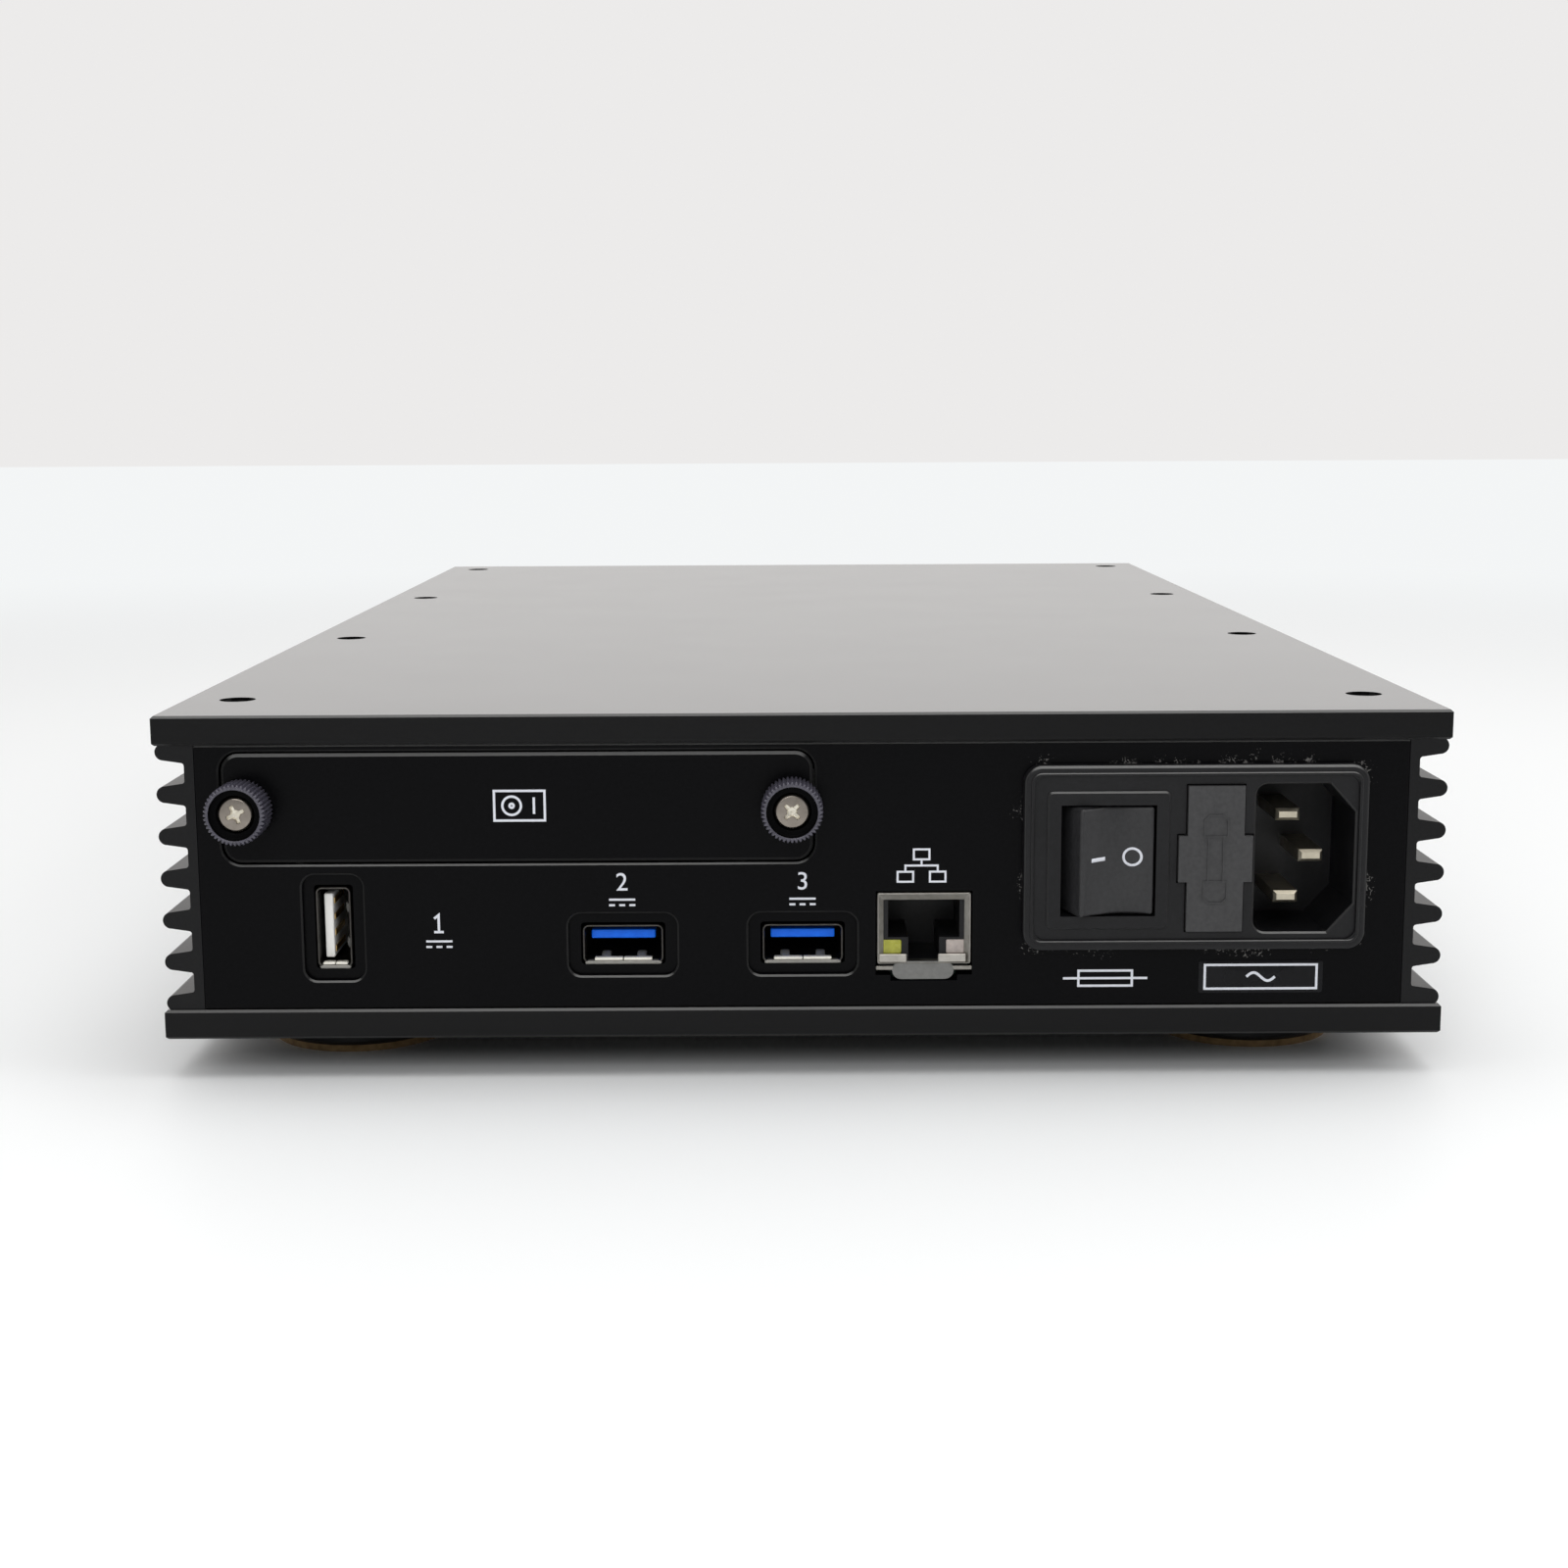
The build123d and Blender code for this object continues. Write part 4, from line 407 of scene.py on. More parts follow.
# Painted highlight: the lips on the mouth's floor are a near-white copy of the nickel, lit where the floor
# faces up.
lip_painted_highlight = finish("lip_painted_highlight", (0.78, 0.75, 0.66), (0.92, 0.90, 0.82), (0.35, 0.5),
                   scale=1100.0, patch=350.0, bump=0.05, metallic=0.2)
tab_grey = finish("tab_grey", (0.13, 0.13, 0.125), (0.22, 0.22, 0.21), (0.4, 0.5),
                  scale=1100.0, patch=350.0, bump=0.05, metallic=0.3)
# Painted light: the sill, the shell's lower edge, is a mid-grey copy of the nickel, lighter than the shaded
# shell.
sill_nickel_painted_light = finish("sill_nickel_painted_light", (0.20, 0.195, 0.18), (0.32, 0.31, 0.285), (0.35, 0.5),
                   scale=1100.0, patch=350.0, bump=0.05, metallic=0.5)
blue = finish("blue_tongue", (0.0, 0.11, 0.75), (0.003, 0.18, 0.98), (0.35, 0.45),
              patch=300.0, bump=0.04, ior=1.35)
white = finish("white_tongue", (0.90, 0.89, 0.85), (0.97, 0.96, 0.93), (0.35, 0.5), patch=300.0, bump=0.04)


def round_outline(width, height, corner, count=8):
    """Points round a rectangle with round corners, and the outward direction at each."""
    corner = max(min(corner, width / 2 - 1e-4, height / 2 - 1e-4), 1e-4)
    bend = np.linspace(0, np.pi / 2, count)
    angle = np.concatenate([bend + quarter * np.pi / 2 for quarter in range(4)])
    out = np.stack((np.cos(angle), np.sin(angle)), -1)
    middle_x = np.repeat(np.array((1, -1, -1, 1)) * (width / 2 - corner), count)
    middle_z = np.repeat(np.array((1, 1, -1, -1)) * (height / 2 - corner), count)
    return np.stack((middle_x, middle_z), -1) + corner * out, out


def moulding(name, x, z, size, corner, stations, turned=False):
    """A round-cornered outline carried along Y from its back to its front: each station is (inset, depth);
    with an inset of None the outline shrinks to its middle and closes the end."""
    outline, out = round_outline(*size, corner)
    flat = np.stack([outline * 0 if inset is None else outline - inset * out for inset, depth in stations])
    flat = np.stack((-flat[..., 1], flat[..., 0]), -1) if turned else flat
    depth = np.repeat(np.array([depth for inset, depth in stations], float)[:, None], flat.shape[1], axis=1)
    return surface(name, np.stack((x + flat[..., 0], depth, z + flat[..., 1]), -1)[::-1], False, True)


def thicken(piece, thickness):
    """Gives an open surface a back, this many millimetres behind its face."""
    wall = piece.modifiers.new("wall", "SOLIDIFY")
    wall.thickness = thickness * mm
    wall.offset = -1.0
    return piece


def spring_tab(name, x, z, start, turned):
    """A bowed leaf: its rise is sin(pi * along) ** 0.8, eased towards its sides by a fourth power."""
    along, over = np.meshgrid(np.linspace(1, 0, 15), np.linspace(-1, 1, 9), indexing="ij")
    rise = spring_rise * np.sin(np.pi * along) ** 0.8 * (1 - 0.18 * over ** 4)
    lateral = 0.8 * over
    flat_x, flat_z = (x - rise, z + lateral) if turned else (x + lateral, z + rise)
    return thicken(surface(name, np.stack((flat_x, start + spring_length * along, flat_z), -1)), spring_thick)


def usb_set(name, x, z, size, front, turned, tongue_material, tongue_slot):
    """The shell, tongue, spring tabs, lips and sill of one socket; turned stands it on end."""
    width, height = size
    shell = moulding(f"{name}_shell", x, z, size, shell_corner, [
        (None, front + shell_depth), (0.0, front + shell_depth), (0.0, front + 0.4), (0.03, front + 0.15),
        (0.1, front + 0.02), (0.2, front), (0.33, front + 0.06), (0.38, front + 0.25),
        (shell_wall, front + 0.8), (shell_wall, front + shell_depth - shell_wall),
        (None, front + shell_depth - shell_wall)], turned)
    rise = height / 2 - shell_wall - tongue_top_gap - tongue_thick / 2
    tongue_x, tongue_z = (x - rise, z) if turned else (x, z + rise)
    tongue_size = (width - 2 * tongue_side_gap, tongue_thick)
    tongue = moulding(f"{name}_tongue", tongue_x, tongue_z, tongue_size, 0.25, [
        (None, front + 14.4), (0.0, front + 14.4), (0.0, front + 1.75), (0.05, front + 1.62),
        (0.2, front + 1.55), (None, front + 1.55)], turned)
    fit(shell, "chassis", "nickel", shell_nickel_painted_shade)
    fit(tongue, "chassis", tongue_slot, tongue_material)
    wall_face = height / 2 - shell_wall - 0.02
    for number, spread in enumerate((-spring_spread, spring_spread), start=1):
        tab_x, tab_z = (x + wall_face, z + spread) if turned else (x + spread, z - wall_face)
        tab = spring_tab(f"{name}_spring_{number}", tab_x, tab_z, front + spring_start, turned)
        fit(tab, "chassis", "nickel", tab_grey)
    mouth_width, low = (height, z - width / 2) if turned else (width, z - height / 2)
    lip_step = mouth_width * lip_share
    for number, lip_x in enumerate((x - lip_step / 2, x + lip_step / 2), start=1):
        lip = moulding(f"{name}_lip_{number}", lip_x, low + 0.68, (lip_step - 0.1, lip_height), 0.2, [
            (None, front + 1.4), (0.0, front + 1.4), (0.0, front + 0.2), (0.06, front + 0.08),
            (0.16, front + 0.04), (None, front + 0.04)])
        fit(lip, "chassis", "nickel", lip_painted_highlight)
    sill = moulding(f"{name}_sill", x, low + 0.1, (mouth_width - 0.7, sill_height), 0.3, [
        (None, front + 1.2), (0.0, front + 1.2), (0.0, front + 0.15), (0.08, front + 0.02),
        (0.2, front - 0.03), (None, front - 0.03)])
    fit(sill, "chassis", "nickel", sill_nickel_painted_light)
    return shell, tongue


usb_low, usb_high = box_mm("usb_shells")
usb_width = 13.6
usb_size = (usb_width, usb_high[2] - usb_low[2])
usb_places = {"usb_left": usb_low[0] + usb_width / 2, "usb_right": usb_high[0] - usb_width / 2}
usb_middle = (usb_low[2] + usb_high[2]) / 2
for label, usb_x in usb_places.items():
    shell, tongue = usb_set(label, usb_x, usb_middle, usb_size, usb_low[1], False, blue, "blue_plastic")
    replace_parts(shell, "usb_shells")
    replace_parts(tongue, "usb_cores")
audio_low, audio_high = box_mm("audio_shell")
audio_x, _, audio_z = (audio_low + audio_high) / 2
audio_width, _, audio_height = audio_high - audio_low
shell, tongue = usb_set("audio_usb", audio_x, audio_z, (audio_height, audio_width), audio_low[1], True, white,
                        "white_plastic")
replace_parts(shell, "audio_shell")
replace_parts(tongue, "audio_core")
gold = finish("contact_gold", (0.55, 0.36, 0.12), (0.80, 0.58, 0.24), (0.25, 0.4),
              patch=400.0, bump=0.04, metallic=1.0)
dress(gold, "socket_contacts")


# Rear panel: an aluminium plate in the door's black, with lint caught round the inlet's flange.
# The sockets look out through it; its marks are screen printed in white: plain numbers and signs.
lint_grey, lint_reach, lint_tuck = (0.30, 0.29, 0.28, 1), 3.2, 0.05
ink_lift = 0.03
flange_low, flange_high = box_mm("inlet_housing")
flange_x, _, flange_z = (flange_low + flange_high) / 2
flange_width, _, flange_height = flange_high - flange_low
panel_face = box_mm("rear_panel")[0][1]
print_depth = panel_face - ink_lift


def lint_mask(tree, middle, half, width):
    """A mask of fine flecks that fades with distance outside a rectangle: noise over a threshold that
    rises with max(|x - middle x| - half x, |z - middle z| - half z) / width, and between clumps."""
    place = add_node(tree, "ShaderNodeTexCoord")
    shift = add_node(tree, "ShaderNodeVectorMath", {1: (middle[0] * mm, 0, middle[1] * mm)},
                     operation="SUBTRACT")
    size = add_node(tree, "ShaderNodeVectorMath", operation="ABSOLUTE")
    edge = add_node(tree, "ShaderNodeVectorMath", {1: (half[0] * mm, 0, half[1] * mm)}, operation="SUBTRACT")
    split = add_node(tree, "ShaderNodeSeparateXYZ")
    far = add_node(tree, "ShaderNodeMath", operation="MAXIMUM")
    bar = add_node(tree, "ShaderNodeMapRange",
                   {"From Min": 0.0, "From Max": width * mm, "To Min": 0.48, "To Max": 0.78})
    clump = add_node(tree, "ShaderNodeTexNoise", {"Scale": 130.0})
    thin = add_node(tree, "ShaderNodeMapRange",
                    {"From Min": 0.36, "From Max": 0.62, "To Min": 0.30, "To Max": 0.0})
    raised = add_node(tree, "ShaderNodeMath", operation="ADD")
    fleck = add_node(tree, "ShaderNodeTexNoise", {"Scale": 1500.0, "Detail": 3.0, "Distortion": 1.5})
    over = add_node(tree, "ShaderNodeMath", operation="SUBTRACT")
    cover = add_node(tree, "ShaderNodeMapRange", {"From Max": 0.08, "To Max": 0.5})
    wire(tree, (place.outputs["Object"], shift.inputs[0]), (shift.outputs[0], size.inputs[0]),
         (size.outputs[0], edge.inputs[0]), (edge.outputs[0], split.inputs[0]),
         (split.outputs["X"], far.inputs[0]), (split.outputs["Z"], far.inputs[1]),
         (far.outputs[0], bar.inputs["Value"]), (place.outputs["Object"], clump.inputs["Vector"]),
         (clump.outputs["Fac"], thin.inputs["Value"]), (bar.outputs["Result"], raised.inputs[0]),
         (thin.outputs["Result"], raised.inputs[1]), (place.outputs["Object"], fleck.inputs["Vector"]),
         (fleck.outputs["Fac"], over.inputs[0]), (raised.outputs[0], over.inputs[1]),
         (over.outputs[0], cover.inputs["Value"]))
    return cover.outputs["Result"]


panel_black = anodised.copy()
panel_black.name = "panel_black"
panel = panel_black.node_tree
panel_shader = panel.nodes["Principled BSDF"]
panel_tint = panel_shader.inputs["Base Color"].links[0].from_socket
dusty = add_node(panel, "ShaderNodeMix", {"B": lint_grey}, data_type="RGBA")
lint = lint_mask(panel, (flange_x, flange_z), (flange_width / 2, flange_height / 2 - lint_tuck), lint_reach)
wire(panel, (panel_tint, dusty.inputs["A"]), (lint, dusty.inputs["Factor"]),
     (dusty.outputs["Result"], panel_shader.inputs["Base Color"]))
dress(panel_black, "rear_panel")
ink = finish("white_ink", (0.66, 0.68, 0.74), (0.80, 0.82, 0.88), (0.45, 0.6),
             scale=1500.0, patch=200.0, bump=0.05)


def print_mesh(name, points, faces, body):
    """A thin film of ink from flat faces, thickened to just under its lift."""
    mesh = bpy.data.meshes.new(name)
    mesh.from_pydata((points * mm).tolist(), [], faces)
    piece = bpy.data.objects.new(name, mesh)
    bpy.context.scene.collection.objects.link(piece)
    fit(thicken(piece, ink_lift * 0.9), body, "white_plastic", ink)


def strokes(name, paths, width, depth, body):
    """Printed lines: each path of points (x, z) becomes a flat ribbon, offset half its width to each side
    along the mean of its neighbours' normals; a path that ends where it starts is closed."""
    points, faces, count = [], [], 0
    for path in paths:
        path = np.array(path, float)
        closed = np.allclose(path[0], path[-1])
        path = path[:-1] if closed else path
        run_in, run_on = path[:1] * 2 - path[1:2], path[-1:] * 2 - path[-2:-1]
        before = np.roll(path, 1, axis=0) if closed else np.concatenate((run_in, path[:-1]))
        after = np.roll(path, -1, axis=0) if closed else np.concatenate((path[1:], run_on))
        way_in = (path - before) / np.linalg.norm(path - before, axis=1, keepdims=True)
        way_out = (after - path) / np.linalg.norm(after - path, axis=1, keepdims=True)
        way = way_in + way_out
        normal = np.stack((-way[:, 1], way[:, 0]), -1) * 2 / (way ** 2).sum(axis=1, keepdims=True)
        sides = np.stack((path - normal * width / 2, path + normal * width / 2), axis=1).reshape(-1, 2)
        first = np.arange(len(path) if closed else len(path) - 1) * 2
        last = (first + 2) % (2 * len(path))
        faces.append(np.stack((first, last, last + 1, first + 1), -1) + count)
        points.append(sides)
        count += len(sides)
    flat = np.concatenate(points)
    ribbon = np.stack((flat[:, 0], np.full(len(flat), depth), flat[:, 1]), -1)
    print_mesh(name, ribbon, np.concatenate(faces).tolist(), body)


def ring_path(x, z, radius, sides):
    """A closed round path about a middle."""
    angle = np.linspace(0, 2 * np.pi, sides + 1)
    return np.stack((x + radius * np.cos(angle), z + radius * np.sin(angle)), -1)


def frame_path(x, z, width, height):
    """A closed rectangle about a middle."""
    return np.array(((-1, -1), (1, -1), (1, 1), (-1, 1), (-1, -1))) * (width / 2, height / 2) + (x, z)


def number_print(name, number, x, z, height, depth):
    """One printed figure, filled between its outlines, with its middle at x, z."""
    letter = bpy.data.curves.new(name, "FONT")
    letter.body = number
    letter.resolution_u = 6
    carrier = bpy.data.objects.new(name + "_outline", letter)
    bpy.context.scene.collection.objects.link(carrier)
    flat = bpy.data.meshes.new_from_object(carrier.evaluated_get(bpy.context.evaluated_depsgraph_get()))
    bpy.data.objects.remove(carrier)
    raw = np.empty(len(flat.vertices) * 3)
    flat.vertices.foreach_get("co", raw)
    raw = raw.reshape(-1, 3)[:, :2]
    low, high = raw.min(axis=0), raw.max(axis=0)
    raw = (raw - (low + high) / 2) * height / (high - low)[1]
    points = np.stack((x + raw[:, 0], np.full(len(raw), depth), z + raw[:, 1]), -1)
    loops = np.empty(len(flat.loops), int)
    flat.loops.foreach_get("vertex_index", loops)
    starts = np.empty(len(flat.polygons), int)
    flat.polygons.foreach_get("loop_start", starts)
    print_mesh(name, points, [loop.tolist() for loop in np.split(loops, starts[1:])], "chassis")


def direct_current(label, x, z):
    """The direct-current sign under a number: one long dash over three short ones."""
    low = z - 3.6
    dashes = [((x - 2.2, low + 0.55), (x + 2.2, low + 0.55))]
    dashes += [((x + step - 0.5, low - 0.4), (x + step + 0.5, low - 0.4)) for step in (-1.7, 0.0, 1.7)]
    strokes(f"direct_current_{label}", dashes, 0.36, print_depth, "chassis")


number_height = 3.0
one_x, one_z = audio_x + 17.7, audio_z + 0.7
one = [((one_x - 0.75, one_z + 0.85), (one_x, one_z + 1.45), (one_x, one_z - 1.25)),
       ((one_x - 0.8, one_z - 1.45), (one_x + 0.8, one_z - 1.45))]
strokes("number_audio", one, 0.42, print_depth, "chassis")
direct_current("audio", one_x, one_z)
usb_number_z = usb_middle + 10.8
for number, (label, usb_x) in zip("23", usb_places.items()):
    number_print(f"number_{label}", number, usb_x, usb_number_z, number_height, print_depth)
    direct_current(label, usb_x, usb_number_z)
net_x, net_step, net_top, net_bus, net_low = 19.9, 2.7, 38.0, 36.1, 34.2
network_sign = [frame_path(x, z, 2.6, 1.7)
                for x, z in ((net_x, net_top), (net_x - net_step, net_low), (net_x + net_step, net_low))]
network_sign += [((net_x - net_step, net_low + 1.0), (net_x - net_step, net_bus),
                  (net_x + net_step, net_bus), (net_x + net_step, net_low + 1.0)),
                 ((net_x, net_top - 1.0), (net_x, net_bus + 0.18))]
strokes("network_sign", network_sign, 0.34, print_depth, "chassis")
fuse_x, fuse_z = 50.9, 16.6
fuse_wires = ((-7.1, -4.7), (-4.3, 4.3), (4.7, 7.1))
fuse_mark = [frame_path(fuse_x, fuse_z, 9.0, 2.6)]
fuse_mark += [((fuse_x + start, fuse_z), (fuse_x + end, fuse_z)) for start, end in fuse_wires]
strokes("fuse_symbol", fuse_mark, 0.4, print_depth, "chassis")
drive_x, drive_z = -47.0, 46.6
drive_mark = [frame_path(drive_x, drive_z, 8.4, 5.0), ring_path(drive_x - 1.3, drive_z, 1.55, 32),
              ring_path(drive_x - 1.3, drive_z, 0.35, 12),
              ((drive_x + 2.4, drive_z - 1.4), (drive_x + 2.4, drive_z + 1.4))]
strokes("drive_symbol", drive_mark, 0.4, print_depth, "tray")


# Voltage plate: a small glossy polyester film, stuck to the rear panel under the inlet.
# It is printed with a frame and the alternating-current sign.
film_x, film_z, film_size, film_thick = 77.05, 16.75, (20.9, 5.6), 0.1
film_face = panel_face - film_thick
film_black = finish("film_black", (0.002, 0.002, 0.0025), (0.007, 0.007, 0.009), (0.22, 0.3),
                    patch=150.0, bump=0.03, ior=1.25)
film = moulding("rating_film", film_x, film_z, film_size, 0.4, [
    (None, panel_face - 0.005), (0.0, panel_face - 0.005), (0.0, film_face + 0.02), (0.05, film_face),
    (None, film_face)])
fit(film, "chassis", "black_plastic", film_black)
strokes("rating_frame", [frame_path(film_x, film_z, 18.8, 4.1)], 0.4, film_face - ink_lift, "chassis")
swing = np.linspace(-1, 1, 25)
wave = np.stack((film_x + 2.4 * swing, film_z - 0.7 * np.sin(np.pi * swing)), -1)
strokes("alternating_sign", [wave], 0.45, film_face - ink_lift, "chassis")


# Network jack: a folded, nickel-plated shield with a funnel mouth, round a moulded black insert.
# A spring tab below earths it to the panel, and two light guides look out beside the latch slot.
(jack_left, jack_front, tab_low), (jack_right, _, jack_top) = box_mm("network_shield")
jack_floor, jack_depth, jack_sheet = 19.3, 20.5, 0.2
# Painted shade: the shield and the ledge under it have their nickel darkened to a grey-brown.
shield_painted_shade = finish("jack_nickel_painted_shade", (0.20, 0.19, 0.172), (0.36, 0.345, 0.315), (0.3, 0.46),
                      scale=1100.0, patch=350.0, bump=0.08, metallic=1.0)
bracket_nickel = finish("bracket_nickel", (0.34, 0.32, 0.29), (0.52, 0.50, 0.46), (0.28, 0.44),
                        scale=1100.0, patch=350.0, bump=0.08, metallic=1.0)
moulded = finish("moulded_black", (0.002, 0.002, 0.0025), (0.008, 0.008, 0.0095), (0.38, 0.52),
                 scale=1400.0, patch=90.0, bump=0.14, ior=1.36, edge=0.5)
dress(moulded, "network_insert")


def stepped_box(name, stations, material, slot, folded=False):
    """A round-cornered rectangle whose sides move from station to station, each given as (left, right, low,
    high, depth, corner); one of no width closes the end, and a folded box runs back to its first station."""
    rings = []
    for left, right, low, high, depth, corner in stations:
        outline, out = round_outline(right - left, high - low, corner, 5)
        flat = outline * (right > left) + ((left + right) / 2, (low + high) / 2)
        rings.append(np.stack((flat[:, 0], np.full(len(flat), depth), flat[:, 1]), -1))
    return fit(surface(name, np.stack(rings)[::-1], folded, True, False), "chassis", slot, material)


def pressed_plate(name, left, right, low, high, front, thick, corner, material, slot, soft=0.1):
    """A small flat plate whose front edges are softened."""
    middle = ((left + right) / 2, (left + right) / 2, (low + high) / 2, (low + high) / 2)
    return stepped_box(name, [
        (*middle, front + thick, corner), (left, right, low, high, front + thick, corner),
        (left, right, low, high, front + soft, corner),
        (left + soft, right - soft, low + soft, high - soft, front, corner),
        (*middle, front, corner)], material, slot)


def shield_ring(side, low, top, depth, corner):
    """One outline of the shield: how far its sides, floor and top stand in, its depth and its corner."""
    return jack_left + side, jack_right - side, jack_floor + low, jack_top - top, jack_front + depth, corner


shield = stepped_box("jack_shield", [
    shield_ring(0, 0, 0, jack_depth, 0.3), shield_ring(0, 0, 0, 0.2, 0.3),
    shield_ring(0.06, 0.06, 0.06, 0.06, 0.3), shield_ring(0.16, 0.16, 0.16, 0, 0.25),
    shield_ring(0.24, 0.2, 0.24, 0, 0.2),
    shield_ring(1.05, 0.4, 1.3, 0.75, 0.12), shield_ring(1.12, 0.45, 1.4, 0.95, 0.12),
    shield_ring(1.12, 0.45, 1.4, 1.9, 0.12), shield_ring(jack_sheet, jack_sheet, jack_sheet, 1.9, 0.12),
    shield_ring(jack_sheet, jack_sheet, jack_sheet, jack_depth, 0.12)], shield_painted_shade, "nickel", folded=True)
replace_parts(shield, "network_shield")
bracket_width, bracket_low, bracket_high = 4.65, jack_floor + 0.25, jack_floor + 1.65
for label, left in (("left", jack_left + 0.3), ("right", jack_right - 5.45)):
    pressed_plate(f"jack_bracket_{label}", left, left + bracket_width, bracket_low, bracket_high,
                  jack_front + 0.05, 0.9, 0.15, bracket_nickel, "nickel")
pressed_plate("jack_ledge", jack_left - 0.2, jack_right + 0.2, jack_floor - 1.1, jack_floor - 0.4,
              jack_front + 0.15, 0.5, 0.2, shield_painted_shade, "nickel")
pressed_plate("jack_spring_tab", jack_left + 2.5, jack_right - 2.8, tab_low + 0.02, jack_floor + 0.4,
              jack_front + 0.1, 0.4, 1.5, tab_grey, "nickel")
guide_width, guide_depth = 3.2, 5.0
yellow_guide = finish("yellow_guide", (0.22, 0.23, 0.012), (0.50, 0.49, 0.06), (0.2, 0.35),
                      patch=400.0, bump=0.04)
clear_guide = finish("clear_guide", (0.26, 0.23, 0.215), (0.58, 0.50, 0.46), (0.2, 0.35),
                     patch=400.0, bump=0.04)
light_low, light_high = box_mm("network_lights")
for label, left, guide in (("left", light_low[0], yellow_guide),
                           ("right", light_high[0] - guide_width, clear_guide)):
    light = pressed_plate(f"jack_light_{label}", left, left + guide_width, light_low[2], light_high[2],
                          light_low[1] - 0.02, guide_depth, 0.35, guide, "light_plastic")
    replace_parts(light, "network_lights")


# Inlet module: a moulded black flange with a raised bead, snapped into the rear panel.
# Flat plated pins stand in its mouth; a matt drawer holds the fuse with its two caps.
dress(moulded, "inlet_housing")
flange_face, flange_corner = flange_low[1], 3.0
bead = np.array([(1.15, 0.02), (1.2, -0.12), (1.32, -0.22), (1.48, -0.25),
                 (1.62, -0.2), (1.72, -0.08), (1.74, 0.1), (1.3, 0.12)])
outline, out = round_outline(flange_width, flange_height, flange_corner, 10)
bead_inset, bead_rise = bead[:, 0, None, None], bead[:, 1, None, None]
bead_flat = outline + (flange_x, flange_z) - bead_inset * out
bead_depth = np.broadcast_to(flange_face + bead_rise, bead_flat[..., :1].shape)
bead_grid = np.concatenate((bead_flat[..., :1], bead_depth, bead_flat[..., 1:]), -1)
fit(surface("flange_bead", bead_grid[::-1], True, True), "chassis", "black_plastic", moulded)
drawer_grey = finish("drawer_grey", (0.022, 0.022, 0.023), (0.055, 0.055, 0.057), (0.55, 0.7),
                     scale=1300.0, patch=90.0, bump=0.15)
dress(drawer_grey, "fuse_drawer")
nickel = finish("nickel_plate", (0.50, 0.47, 0.42), (0.68, 0.64, 0.58), (0.22, 0.36),
                scale=1100.0, patch=350.0, bump=0.05, metallic=1.0)
dress(nickel, "fuse_caps")
glass = finish("fuse_tube", (0.80, 0.85, 0.85), (0.92, 0.95, 0.95), (0.03, 0.08),
               scale=300.0, patch=60.0, bump=0.0)
glass.node_tree.nodes["Principled BSDF"].inputs["Transmission Weight"].default_value = 1.0
dress(glass, "fuse_glass")
pin_metal = finish("plated_brass", (0.44, 0.40, 0.31), (0.62, 0.57, 0.46), (0.28, 0.4),
                   patch=300.0, bump=0.04, metallic=1.0)
dress(pin_metal, "inlet_pins")


# Rocker: a moulded black key with a hollow face that tips on its pin, its off side pressed in at rest.
# The marks are printed on its face.
rocker_black = finish("rocker_black", (0.007, 0.007, 0.0078), (0.025, 0.025, 0.0275), (0.42, 0.55),
                      scale=1300.0, patch=90.0, bump=0.2)
joints = {joint["name"]: joint for joint in frame["record"]["behaviour"]["joints"]}
rocker_joint = joints["rocker_tip"]
rocker_pin = np.array(rocker_joint["pos_m"]) / mm
rocker_tilt = np.radians(rocker_joint["range_deg"][1] / 2)
rocker_half_height, face_half_width, face_depth, face_hollow = 9.1, 5.9, -5.1, 1.5


def rocker_face(across):
    """Depth of the hollow face: a parabola, lowest at the middle."""
    return face_depth - face_hollow * (across / 5.55) ** 2


def tip(points):
    """Turns points of the level rocker to its resting tilt, about its pin."""
    c, s = np.cos(rocker_tilt), np.sin(rocker_tilt)
    x, y, z = points[..., 0], points[..., 1], points[..., 2]
    return np.stack((x * c - y * s, x * s + y * c, z), -1) + rocker_pin


face_across = np.linspace(-face_half_width, face_half_width, 29)
face = np.stack((face_across, rocker_face(face_across)), -1)
flank = np.array([(6.15, -6.75), (6.35, -6.6), (6.45, -6.3), (7.45, -0.5), (7.6, 0.0), (7.45, 0.5),
                  (5.5, 5.0)])
loop = np.concatenate((face, flank, flank[::-1] * (-1, 1)))
loop_way = np.roll(loop, -1, axis=0) - np.roll(loop, 1, axis=0)
loop_out = np.stack((loop_way[:, 1], -loop_way[:, 0]), -1)
loop_out /= np.linalg.norm(loop_out, axis=1, keepdims=True)
round_over = np.array([(0.5, 0.0), (0.28, 0.05), (0.1, 0.2), (0.0, 0.5)])
top_inset, top_height = round_over[:, 0, None, None], rocker_half_height - round_over[:, 1]
middle = np.broadcast_to(loop.mean(axis=0), (1, *loop.shape))
top_rings = np.concatenate((middle, loop - top_inset * loop_out))
top_heights = np.concatenate(([rocker_half_height], top_height))
rings = np.concatenate((top_rings, top_rings[::-1]))
heights = np.concatenate((top_heights, -top_heights[::-1]))
heights = np.broadcast_to(heights[:, None, None], (*rings.shape[:2], 1))
rocker = surface("rocker_key", tip(np.concatenate((rings, heights), -1)), False, True)
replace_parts(fit(rocker, "rocker", "rocker_plastic", rocker_black), "power_rocker")


def face_print(name, across, height):
    """A grid of points on the hollow face, lifted off it by the ink's thickness."""
    grid = tip(np.stack((across, rocker_face(across) - ink_lift, height), -1))
    fit(thicken(surface(name, grid), ink_lift * 0.9), "rocker", "white_plastic", ink)


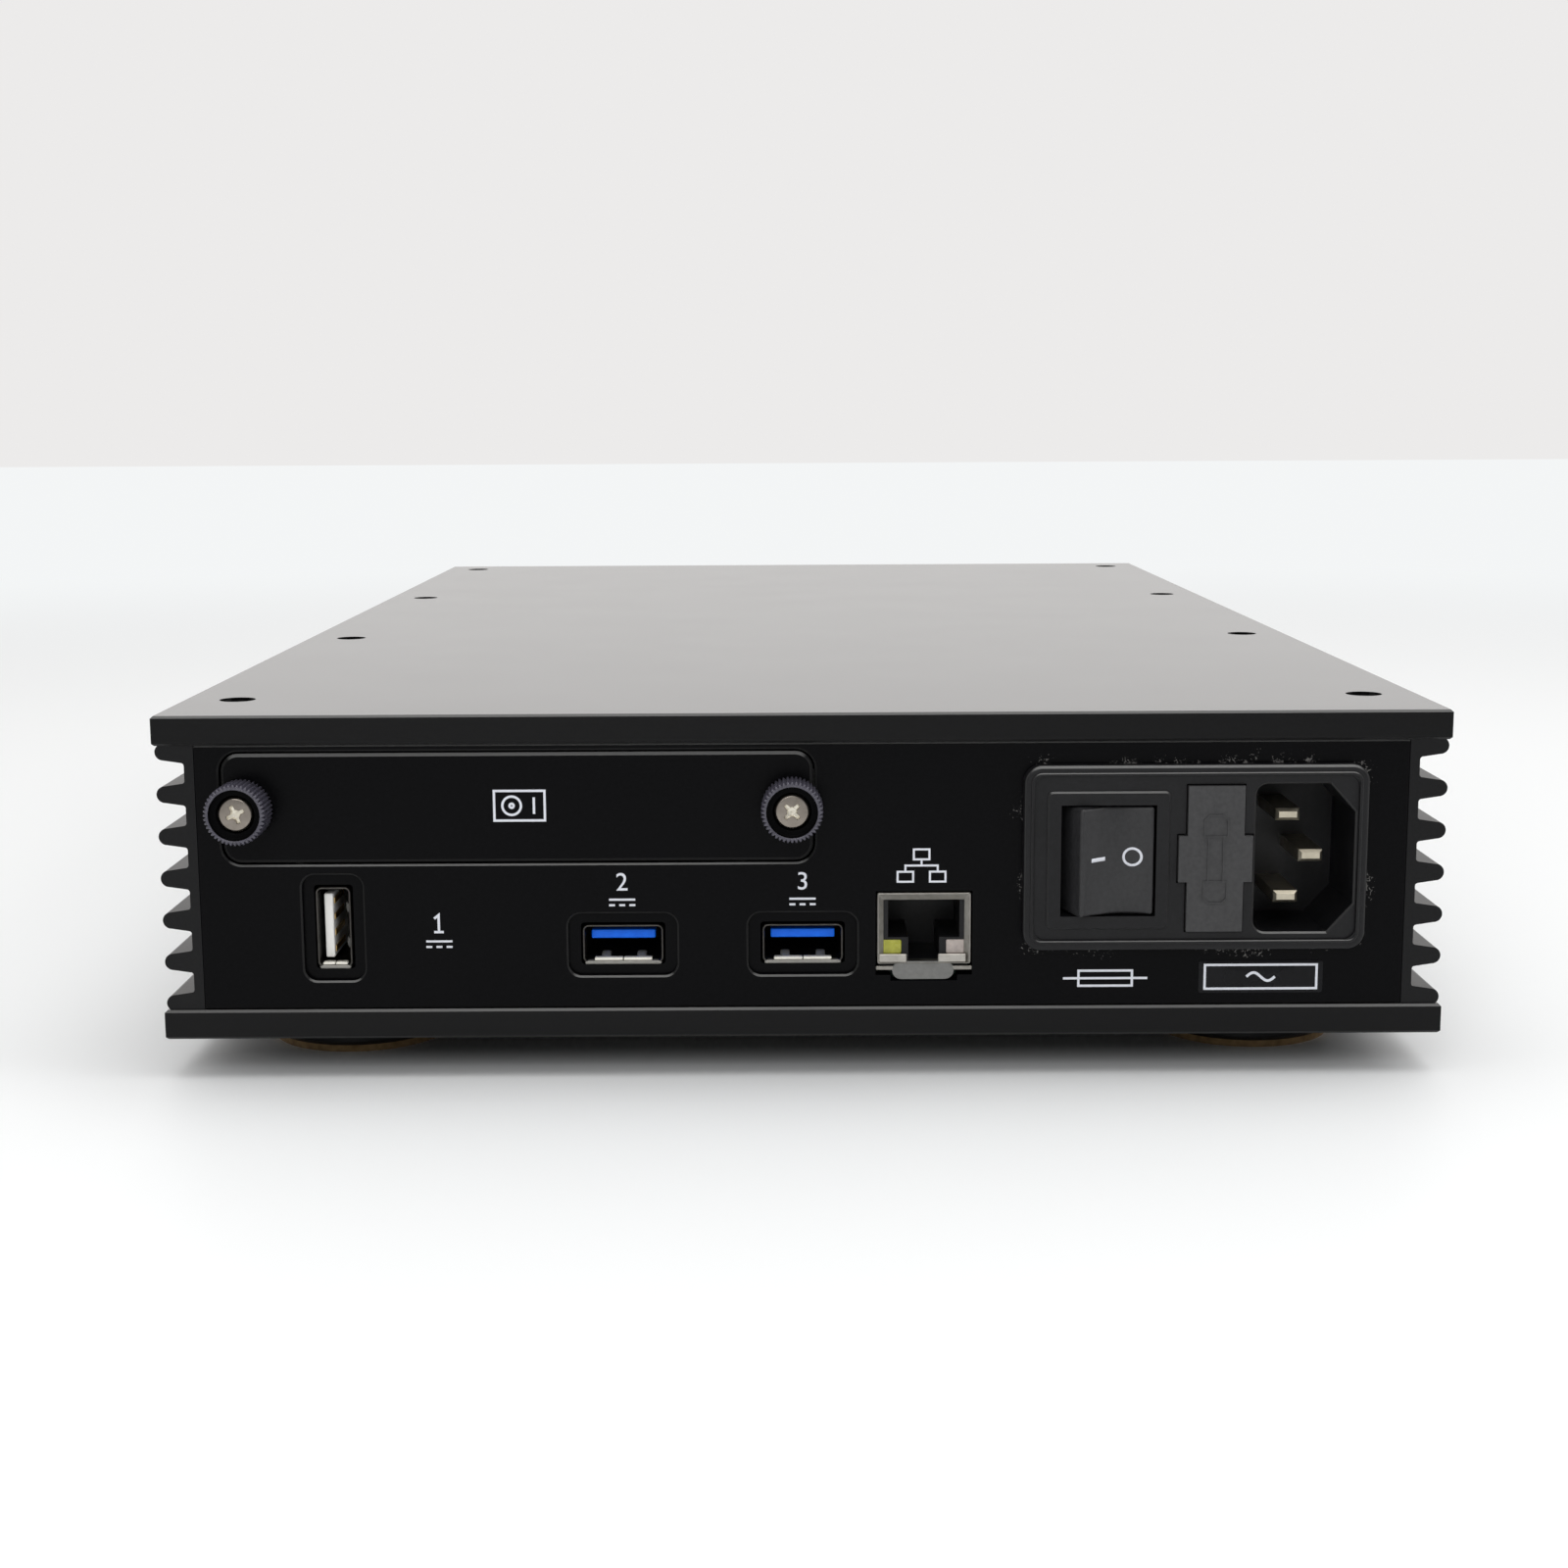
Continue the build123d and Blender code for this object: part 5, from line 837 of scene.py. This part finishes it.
angle, radius = np.meshgrid(np.linspace(0, 2 * np.pi, 49), (1.62, 1.2), indexing="ij")
face_print("off_mark", 3.0 + radius * np.cos(angle), 0.6 + radius * np.sin(angle))
along, over = np.meshgrid(np.linspace(-1.3, 1.3, 9), (-0.33, 0.33), indexing="ij")
face_print("on_mark", -2.9 + along, 0.35 + over + 0.05 * along)


# Inside: boards on standoffs, the drive in its bay, the supply with its transformer, heat pipes and leads.
# Each is bought in and keeps its usual finish; little of it shows unless the drive is drawn out.
solder_mask = finish("solder_mask", (0.008, 0.05, 0.028), (0.02, 0.11, 0.06), (0.35, 0.5),
                     scale=500.0, patch=60.0, bump=0.05)
dress(solder_mask, "mainboard", "supply_board", "backplane_board", "control_board", "memory_module")
dress(moulded, "board_headers")
zinc = finish("zinc_sheet", (0.40, 0.40, 0.39), (0.56, 0.56, 0.54), (0.3, 0.5),
              scale=700.0, patch=60.0, bump=0.05, metallic=1.0)
dress(zinc, "drive_tray", "drive_bay", "board_standoffs", "board_screws", "transformer_clamp")
bare = finish("bare_aluminium", (0.48, 0.48, 0.49), (0.66, 0.66, 0.67), (0.3, 0.45),
              patch=60.0, bump=0.06, metallic=1.0)
dress(bare, "drive", "heat_blocks")
copper = finish("copper_pipe", (0.55, 0.25, 0.12), (0.76, 0.40, 0.22), (0.25, 0.4),
                scale=800.0, patch=80.0, bump=0.04, metallic=1.0)
dress(copper, "heat_pipes")
chip = finish("chip_moulding", (0.015, 0.015, 0.015), (0.04, 0.04, 0.04), (0.5, 0.65),
              scale=1000.0, patch=90.0, bump=0.1)
dress(chip, "processor", "supply_regulators", "push_switches", "display_panel")
sleeve = finish("capacitor_sleeve", (0.01, 0.015, 0.06), (0.03, 0.04, 0.12), (0.25, 0.4),
                scale=600.0, patch=90.0, bump=0.03)
dress(sleeve, "supply_capacitors")
wrap = finish("amber_wrap", (0.32, 0.18, 0.03), (0.52, 0.33, 0.08), (0.2, 0.35),
              scale=400.0, patch=90.0, bump=0.05)
dress(wrap, "transformer")
rubber = finish("lead_cover", (0.03, 0.03, 0.03), (0.08, 0.08, 0.08), (0.5, 0.65),
                scale=600.0, patch=90.0, bump=0.05)
dress(rubber, "inside_leads")
